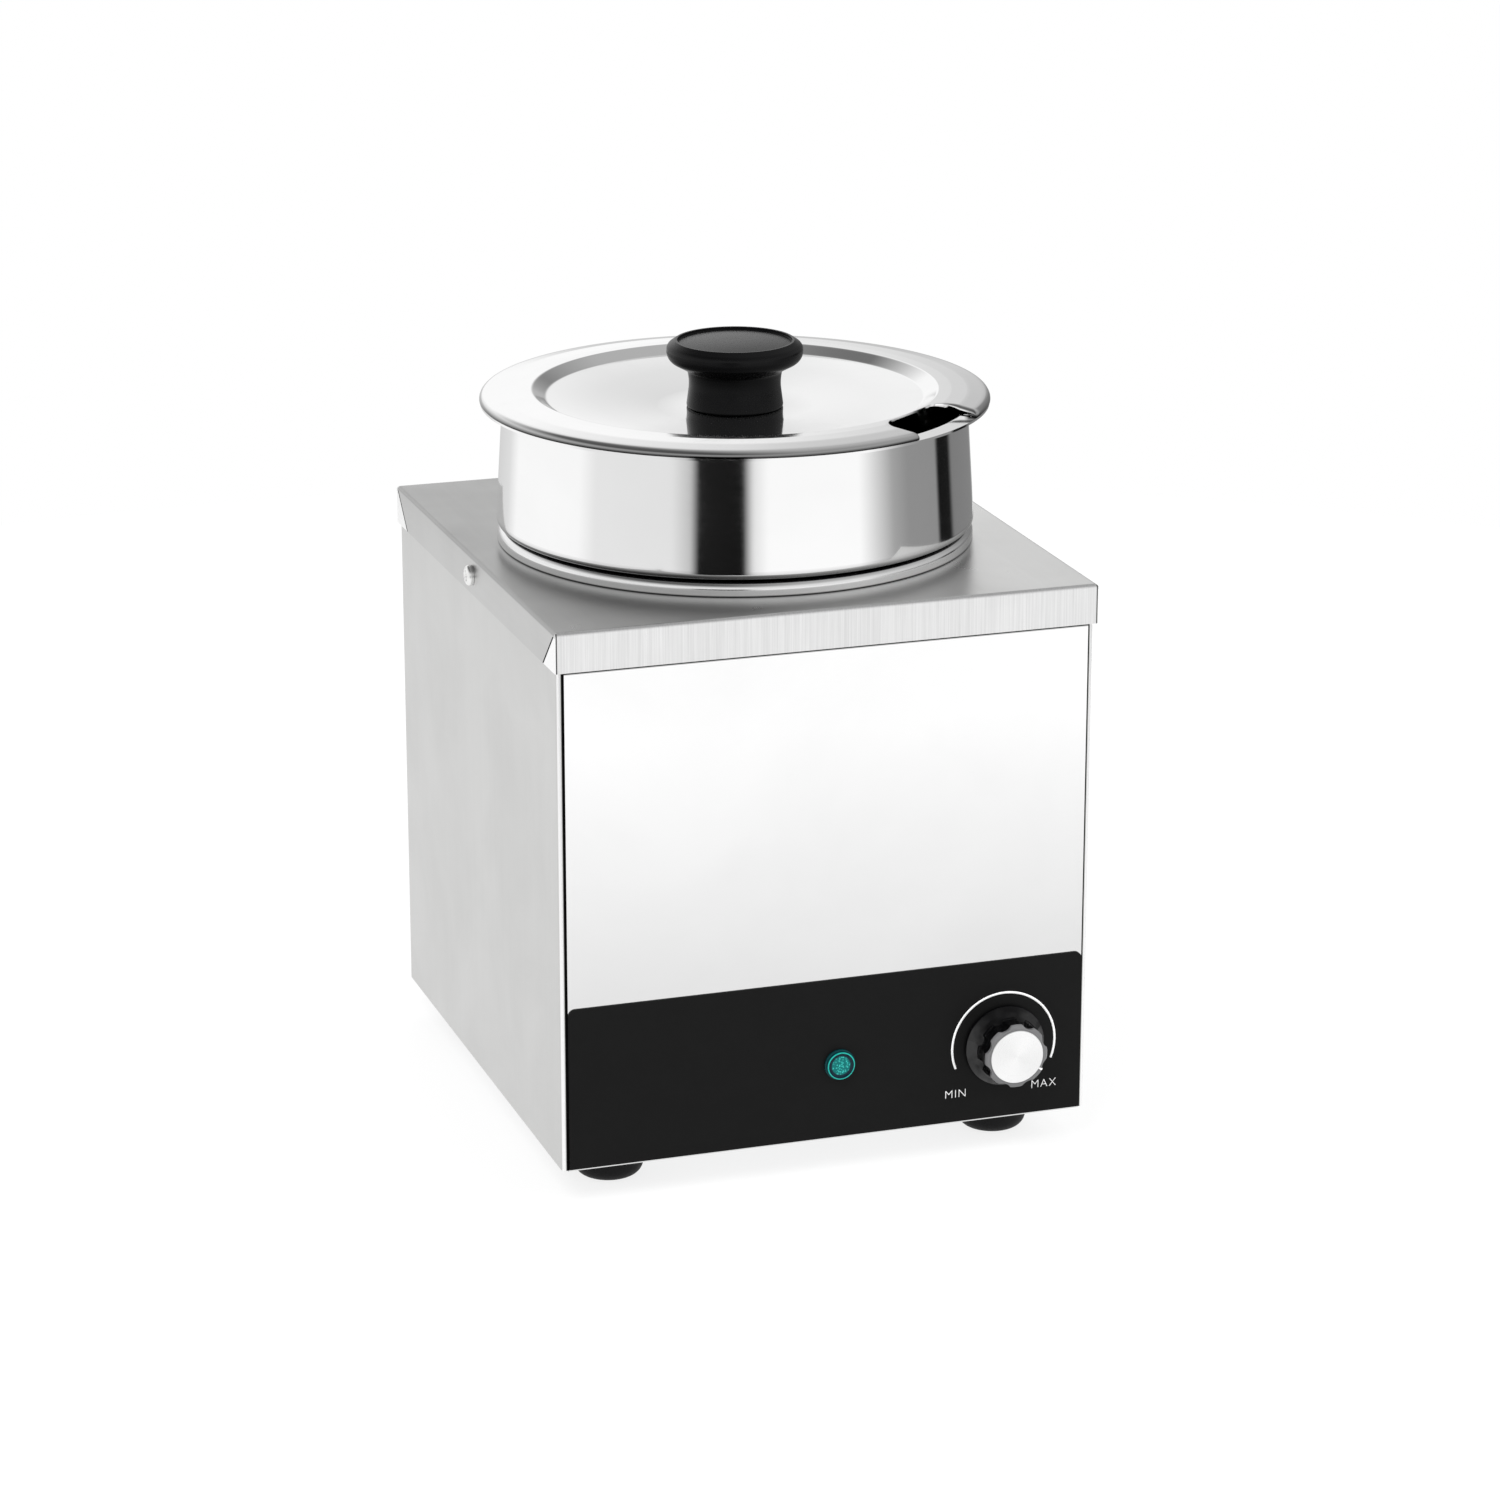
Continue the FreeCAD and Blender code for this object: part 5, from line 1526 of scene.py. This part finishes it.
@dataclass
class Controls:
    """Black fascia with its dial, the control knob and the pilot lamp."""

    arc_radius: float = 22.25
    arc_width: float = 0.95
    arc_start: float = -22.0
    arc_sweep: float = 224.0
    print_height: float = 0.08
    words: tuple[tuple[str, float], ...] = (("MIN", -20.6), ("MAX", 17.8))
    word_foot: float = -20.8
    word_size: float = 5.0
    word_gap: float = 1.12
    word_thin: float = -0.09
    flutes: int = 8
    flute_radius: float = 4.2
    flute_depth: float = 1.5
    flute_ease: float = 0.5
    flute_edge: float = 0.3
    grip_radius: float = 13.6
    face_radius: float = 11.2
    skirt: Pair = (17.0, 1.6)
    hollow: Pair = (10.1, 11.6)
    boss: Pair = (5.4, 2.4)
    shaft: Pair = (3.05, 8.05)
    waist: float = 12.6
    cone: float = 5.0
    knob_rounds: tuple[float, ...] = (0.6, 0.6, 4.0, 1.2)
    face_depth: float = 1.0
    knob_step: float = 0.7
    rim_over: float = 0.1
    rim_depth: float = 1.3
    mark: Triple = (1.7, 0.85, 0.64)
    mark_place: Pair = (12.1, 0.24)
    mark_angle: float = -32.0
    cap_rounds: Pair = (0.15, 0.3)
    flange: Pair = (1.0, 1.2)
    dome: float = 5.9
    pane: Pair = (4.6, 0.5)
    pane_rim: float = 0.5
    lens_rounds: tuple[float, ...] = (0.3, 0.3, 0.15, 0.45, 0.2, 0.4)
    ink: Moulding = Moulding("print white", shade(254), 0.45, grain=2600.0, depth=0.004, mottle=0.04, gloss=0.3)
    fascia: Moulding = Moulding("fascia black", shade(18), 0.42, grain=1800.0, depth=0.006, mottle=0.2, gloss=0.1)

    def build(self) -> None:
        """Makes the dial, the knob, the pointer, the cap and the lens, and dresses the fascia."""
        dress(self.fascia, "control_fascia")
        box, cap, lens = NodeBox.of("control_knob"), NodeBox.of("knob_cap"), NodeBox.of("lamp_lens")
        centre = Vector((box.middle.x, NodeBox.of("control_fascia").low.y, box.middle.z))
        self.dial(centre)
        rim = Rim(tuple(centre), self.face_radius, self.grip_radius + self.rim_over, box.low.y + self.rim_depth,
                  shade(112, 112, 113))
        black = Moulding("knob black", shade(8, 8, 9), 0.14, grain=1700.0, depth=0.008, gloss=0.12,
                         spread_of_gloss=0.08, coat=0.9, rim=rim)
        spun = SpunMetal("knob cap spun", shade(252), 0.26, tuple(centre), depth=0.01)
        green = LensPlastic("lamp lens", shade(62, 200, 190), 0.12, tuple(lens.middle), depth=0.12)
        attach(self.knob(box), black, Body.KNOB, "knob_black", "control_knob")
        attach(self.pointer(box), self.ink, Body.KNOB, "knob_black")
        attach(self.cap(cap), spun, Body.KNOB, "cap_aluminium", "knob_cap")
        attach(self.lens(lens), green, Body.CASING, "lens_green", "lamp_lens")

    @staticmethod
    def seat(box: NodeBox) -> Matrix:
        """Gives the place of a front-facing piece that is drawn from its back."""
        return stand((box.middle.x, box.high.y, box.middle.z), Axis.FRONT)

    def dial(self, centre: Vector) -> None:
        """Makes the printed arc and the two words round the knob.

        Args:
            centre: Centre of the dial on the fascia.
        """
        values = {"Radius": self.arc_radius * MM, "Start": math.radians(self.arc_start),
                  "Sweep": math.radians(self.arc_sweep), "Width": self.arc_width * MM,
                  "Height": self.print_height * MM, "Finish": self.ink.material()}
        face = Matrix.Translation(centre * MM) @ Matrix.Rotation(math.pi / 2, 4, "X")
        arc = Repeats.run("dial_arc", bpy.data.meshes.new("arc"), Repeats.arc_line(), values, face)
        attach(arc, None, Body.CASING, "fascia_black")
        for word, x in self.words:
            attach(self.word(word, centre + Vector((x, 0, self.word_foot))), self.ink, Body.CASING, "fascia_black")

    def word(self, text: str, middle: Vector) -> Object:
        """Makes one printed word.

        Args:
            text: The word.
            middle: Middle of its foot line on the fascia.

        Returns:
            The word as a mesh.
        """
        letters = bpy.data.curves.new(text, "FONT")
        letters.body, letters.align_x, letters.space_character = text, "CENTER", self.word_gap
        letters.size, letters.offset = self.word_size * MM, self.word_thin * MM
        letters.extrude = self.print_height / 2 * MM
        drawn = add_object(text, letters)
        mesh = freeze(drawn)
        bpy.data.objects.remove(drawn)
        shape = bmesh.new()
        shape.from_mesh(mesh)
        shape.transform(Matrix.Scale(1 / MM, 4))
        return close_mesh("dial_" + text.lower(), shape, stand(middle, Axis.FRONT))

    def knob(self, box: NodeBox) -> Object:
        """Makes the fluted knob with its skirt and hollow back.

        Args:
            box: Box of the knob.

        Returns:
            The knob.
        """
        high, face = box.high.y - box.low.y, self.face_radius
        path = outline(rounded([(self.hollow[0], 0), (self.skirt[0], 0), self.skirt, (self.waist, self.cone),
                                (self.grip_radius, high), (face, high)], self.knob_rounds, turn=10.0, guard=0.2))
        graded: list[Pair] = []
        for one, two in zip(path, path[1:]):
            steps = max(1, math.ceil(abs(two[1] - one[1]) / self.knob_step))
            graded += [(one[0] + (two[0] - one[0]) * i / steps, one[1] + (two[1] - one[1]) * i / steps)
                       for i in range(steps)]
        sunk = high - self.face_depth
        rest = [(face, high), (face, sunk), (0, sunk), (0, self.shaft[1]), self.shaft,
                (self.shaft[0], self.boss[1]), self.boss, (self.boss[0], self.hollow[1]), self.hollow]
        return lathe("knob_grip", graded + rest, self.seat(box), 320, sway=self.flute, crease=24.0)

    def flute(self, radius: float, height: float, angle: float) -> float:
        """Gives the knob's radius where its flutes cut into it.

        Args:
            radius: Radius without flutes.
            height: Height from the knob's back.
            angle: Angle round the knob's axis.

        Returns:
            The radius.
        """
        pitch = 2 * math.pi / self.flutes
        off = (angle % pitch) - pitch / 2
        reach = self.grip_radius + self.flute_radius - self.flute_depth
        across = self.flute_radius ** 2 - (reach * math.sin(off)) ** 2
        if height < self.cone or radius < self.face_radius + self.flute_edge or across <= 0:
            return radius
        eased = min(1.0, (height - self.cone) / self.flute_ease)
        cut = min(radius, reach * math.cos(off) - math.sqrt(across))
        return radius + (cut - radius) * eased

    def pointer(self, box: NodeBox) -> Object:
        """Makes the white mark on the rim of the knob.

        Args:
            box: Box of the knob.

        Returns:
            The mark.
        """
        shape = bmesh.new()
        place = Matrix.Translation((self.mark_place[0], 0, box.high.y - box.low.y - self.mark_place[1]))
        bmesh.ops.create_cube(shape, size=1.0, matrix=place @ Matrix.Diagonal((*self.mark, 1.0)))
        bmesh.ops.bevel(shape, geom=shape.edges[:], offset=0.08, segments=2, affect="EDGES")
        turn = Matrix.Rotation(math.radians(self.mark_angle), 3, "Z")
        bmesh.ops.rotate(shape, cent=(0, 0, 0), matrix=turn, verts=shape.verts)
        return close_mesh("knob_pointer", shape, self.seat(box))

    def cap(self, box: NodeBox) -> Object:
        """Makes the bright cap of the knob.

        Args:
            box: Box of the cap.

        Returns:
            The cap.
        """
        radius, high = (box.high.x - box.low.x) / 2, box.high.y - box.low.y
        path = rounded([(0, 0), (radius, 0), (radius, high), (0, high)], self.cap_rounds, turn=10.0, guard=0.15)
        return lathe("knob_face", outline(path), self.seat(box), 128, closed=False)

    def lens(self, box: NodeBox) -> Object:
        """Makes the lens with its flange.

        Args:
            box: Box of the lens.

        Returns:
            The lens.
        """
        radius, high, (pane, sunk) = (box.high.x - box.low.x) / 2, box.high.y - box.low.y, self.pane
        path = rounded([(0, 0), (radius, 0), (radius, self.flange[0]), (self.dome, self.flange[1]), (self.dome, high),
                        (pane + self.pane_rim, high), (pane, high - sunk), (0, high - sunk)], self.lens_rounds,
                       turn=10.0, guard=0.15)
        return lathe("lamp_jewel", outline(path), self.seat(box), 128, closed=False)


@dataclass
class CableGland:
    """Nylon gland in the back wall, with a ribbed nut."""

    ribs: int = 20
    rib_rise: float = 0.45
    rib_radius: float = 0.75
    rib_start: float = 1.2
    rib_short: float = 3.2
    nose: float = 7.0
    bore: float = 8.0
    mouth: Pair = (4.5, 6.7)
    rounds: tuple[float, ...] = (0.6, 4.2, 0.8, 0.3, 0.05)
    nylon: Moulding = Moulding("gland nylon", shade(30, 30, 31), 0.4, grain=1300.0, depth=0.03, gloss=0.4)

    def build(self) -> None:
        """Makes the ribbed nut and dresses the gland's other pieces."""
        box = NodeBox.of("gland_nut")
        radius, long = box.high.x - box.middle.x, box.high.y - box.low.y
        nose, core, (mouth, edge) = long - self.nose, radius - self.rib_rise, self.mouth
        path = rounded([(self.bore, 0), (core, 0), (core, nose), (edge, long), (mouth, long), (mouth, nose),
                        (self.bore, nose)], self.rounds, turn=9.0, guard=0.3)
        place = stand((box.middle.x, box.low.y, box.middle.z), Axis.BACK)
        body, shape, depth = lathe("gland_nut_body", outline(path), stand(), 96), bmesh.new(), nose - self.rib_short
        bmesh.ops.create_cone(shape, cap_ends=True, segments=10, radius1=self.rib_radius, radius2=self.rib_radius,
                              depth=depth, matrix=Matrix.Translation((0, 0, depth / 2 + self.rib_start)))
        rib = close_mesh("gland_rib", shape, stand())
        values = {"Rib": rib, "Count": self.ribs, "Radius": (radius - self.rib_radius) * MM,
                  "Finish": self.nylon.material()}
        nut = Repeats.run("gland_dome", body.data, Repeats.round_axis(), values, place @ Matrix.Scale(1 / MM, 4))
        bpy.data.objects.remove(rib)
        bpy.data.objects.remove(body)
        attach(nut, None, Body.CASING, "gland_nylon", "gland_nut")
        dress(self.nylon, "gland_body", "gland_locknut")


@dataclass
class Works:
    """Heater, switch gear and wiring inside the casing, which keep their construction shapes."""

    def build(self) -> None:
        """Dresses the inner pieces."""
        dress(SCREW_STEEL, "thermostat_screws", "block_screws", "clamp_nut", "thermostat_shaft")
        for name, tone, rough, grain, stain, depth, nodes in (
                ("clamp steel", shade(186, 187, 188), 0.3, 600.0, 0.35, 0.03, "element_clamp bulb_clip lamp_clip"),
                ("heat plate cast", shade(176, 178, 180), 0.38, 420.0, 0.35, 0.06, "heat_plate"),
                ("element sheath", shade(120, 116, 112), 0.35, 500.0, 0.5, 0.02, "heating_element"),
                ("sensor copper", shade(214, 140, 104), 0.26, 500.0, 0.4, 0.02, "thermostat_sensor"),
                ("earth brass", shade(214, 180, 104), 0.24, 700.0, 0.3, 0.02, "earth_stud earth_tag earth_nut")):
            dress(PlainMetal(name, tone, rough, grain, stain, depth=depth), *nodes.split())
        for name, tone, rough, grain, depth, mottle, gloss, nodes in (
                ("switch plastic", shade(38, 38, 40), 0.4, 900.0, 0.04, 0.25, 0.5, "thermostat_body safety_cutout"),
                ("lamp plastic", shade(214, 212, 204), 0.35, 900.0, 0.03, 0.12, 0.5, "lamp_body"),
                ("block ceramic", shade(228, 222, 208), 0.3, 600.0, 0.05, 0.2, 0.5, "terminal_block"),
                ("wire brown", shade(108, 62, 36), 0.38, 1200.0, 0.02, 0.15, 0.4,
                 "wire_supply wire_switched wire_element wire_lamp_feed"),
                ("wire blue", shade(46, 96, 170), 0.38, 1200.0, 0.02, 0.15, 0.4, "wire_neutral wire_lamp_return"),
                ("wire green", shade(96, 140, 52), 0.38, 1200.0, 0.02, 0.15, 0.4, "wire_earth")):
            dress(Moulding(name, tone, rough, grain, mottle, gloss, depth=depth), *nodes.split())


# ---------------------------------------------------------------- studio


@dataclass
class Studio:
    """White floor, soft light, the reflections of a studio, and the camera.

    The walls and the backdrop are levels by angle, in degrees from the camera's side. The ceiling has a level on its
    left and one on its right. The rises say at which heights one gives way to the next.
    """

    azimuth: float = -18.472
    elevation: float = 17.577
    distance: float = 2050.9
    aim: Triple = (6.54, -7.4, 143.99)
    lens: float = 117.67
    floor_radius: float = 1000.0
    floor_drop: float = 0.05
    floor_glow: Pair = (0.82, 0.78)
    paper: float = 0.86
    shadow: float = 0.2
    sky: float = 0.62
    walls: tuple[Pair, ...] = ((-180, 0.62), (-142, 0.8), (-130, 1.05), (-80, 1.05), (-70, 0.88), (-30, 0.86),
                               (-21, 0.6), (-17, 0.012), (4, 0.008), (9, 0.85), (16, 1.08), (62, 1.08), (72, 0.72),
                               (82, 0.4), (92, 0.3), (114, 0.29), (116, 0.008), (127, 0.012), (131, 0.22),
                               (165, 0.24), (180, 0.62))
    backdrop: tuple[Pair, ...] = ((-180, 0.93), (-178, 1.03), (-110, 1.0), (-60, 0.9), (60, 0.9), (120, 0.5),
                                  (150, 0.24), (162, 0.24), (168, 0.36), (174, 0.6), (178, 0.76), (180, 0.93))
    ceiling: Pair = (0.12, 0.46)
    ceiling_half: float = 0.25
    backdrop_rise: Pair = (0.02, 0.1)
    ceiling_rise: Pair = (0.36, 0.72)
    lamps: tuple[tuple[str, Triple, float, float], ...] = (
        ("key_light", (-0.9, -1.0, 1.5), 0.9, 19.0), ("fill_light", (1.1, -0.9, 1.0), 1.0, 11.0),
        ("back_light", (0.2, 1.2, 1.4), 0.9, 7.0))
    lit: Triple = (0.0, 0.0, 0.15)

    def build(self) -> None:
        """Makes the floor, the light and the camera."""
        bpy.context.scene.view_settings.view_transform = "Standard"
        self.floor()
        self.world()
        for name, place, size, power in self.lamps:
            self.lamp(name, place, size, power)
        self.camera()

    def floor(self) -> None:
        """Makes a round floor that is white to the camera and keeps a faint shadow."""
        shape = bmesh.new()
        bmesh.ops.create_circle(shape, cap_ends=True, segments=96, radius=self.floor_radius)
        floor = close_mesh("floor", shape, stand((0, 0, -self.floor_drop)))
        if floor.data.polygons[0].normal.z < 0:
            floor.data.flip_normals()
        made = bpy.data.materials.new("floor white")
        made.use_nodes = True
        graph = Graph(made.node_tree)
        graph.tree.nodes.clear()
        path = graph.node("ShaderNodeLightPath").outputs
        seen = graph.sum("MAXIMUM", graph.sum("MAXIMUM", path["Is Camera Ray"], path["Is Glossy Ray"]),
                         path["Is Transmission Ray"])
        glare = graph.spread(path["Is Glossy Ray"], 0.0, 1.0, *self.floor_glow)
        paper = graph.node("ShaderNodeBsdfDiffuse", {"Color": grey(self.paper)})
        faint = graph.node("ShaderNodeBsdfDiffuse", {"Color": grey(self.shadow)})
        light = graph.node("ShaderNodeEmission", {"Color": WHITE, "Strength": glare})
        glow = graph.node("ShaderNodeAddShader", {0: light.outputs[0], 1: faint.outputs[0]})
        both = graph.node("ShaderNodeMixShader", {0: seen, 1: paper.outputs[0], 2: glow.outputs[0]})
        graph.node("ShaderNodeOutputMaterial", {"Surface": both.outputs[0]})
        floor.data.materials.append(made)

    def world(self) -> None:
        """Makes a world that is white to the camera, and a studio with dark flags to polished metal."""
        world = bpy.data.worlds.new("studio")
        bpy.context.scene.world = world
        world.use_nodes = True
        graph = Graph(world.node_tree)
        graph.tree.nodes.clear()
        way = graph.split(graph.node("ShaderNodeTexCoord").outputs["Generated"])
        turn = graph.sum("ARCTAN2", way["X"], graph.times(way["Y"], -1.0))
        turned = graph.sum("SUBTRACT", turn, math.radians(self.azimuth))
        share = graph.sum("FRACT", graph.sum("ADD", graph.sum("DIVIDE", turned, 2 * math.pi), 0.5))
        low, high = (graph.ramp(share, [((angle + 180) / 360, grey(level)) for angle, level in levels])
                     for levels in (self.walls, self.backdrop))
        lean = graph.spread(way["X"], -self.ceiling_half, self.ceiling_half, *self.ceiling)
        upper = graph.mix(graph.spread(way["Z"], *self.ceiling_rise), high, lean)
        walls = graph.mix(graph.spread(way["Z"], *self.backdrop_rise), low, upper)
        path = graph.node("ShaderNodeLightPath").outputs
        plain = graph.mix(path["Is Glossy Ray"], grey(self.sky), walls)
        seen = graph.sum("MAXIMUM", path["Is Camera Ray"], path["Is Transmission Ray"])
        back = graph.node("ShaderNodeBackground", {"Color": graph.mix(seen, plain, WHITE), "Strength": 1.0})
        graph.node("ShaderNodeOutputWorld", {"Surface": back.outputs[0]})

    def lamp(self, name: str, place: Triple, size: float, power: float) -> None:
        """Makes one soft lamp that looks at the kettle.

        Args:
            name: Name of the lamp.
            place: Where it stands, in metres.
            size: Width of its face, in metres.
            power: Power, in watts.
        """
        light = bpy.data.lights.new(name, "AREA")
        light.shape, light.size, light.energy = "DISK", size, power
        lamp = add_object(name, light)
        lamp.location = place
        lamp.rotation_euler = (Vector(self.lit) - Vector(place)).to_track_quat("-Z", "Y").to_euler()
        lamp.visible_camera = lamp.visible_glossy = False

    def camera(self) -> None:
        """Makes the camera at the photograph's angle."""
        lens = bpy.data.cameras.new("camera")
        lens.lens, lens.sensor_width, lens.clip_start, lens.clip_end = self.lens, 36.0, 0.05, 50.0
        camera = add_object("camera", lens)
        turn, lift = math.radians(self.azimuth), math.radians(self.elevation)
        back = Vector((math.sin(turn) * math.cos(lift), -math.cos(turn) * math.cos(lift), math.sin(lift)))
        camera.location = (Vector(self.aim) + back * self.distance) * MM
        camera.rotation_euler = (-back).to_track_quat("-Z", "Y").to_euler()
        bpy.context.scene.camera = camera


def main() -> None:
    """Builds the kettle and its studio."""
    logging.basicConfig(level=logging.INFO, format="%(name)s %(message)s")
    for part in (Casing(), Vessel(), Lid(), Controls(), CableGland(), Works(), Studio()):
        LOG.info("building %s", type(part).__name__)
        part.build()


if __name__ == "__main__":
    main()
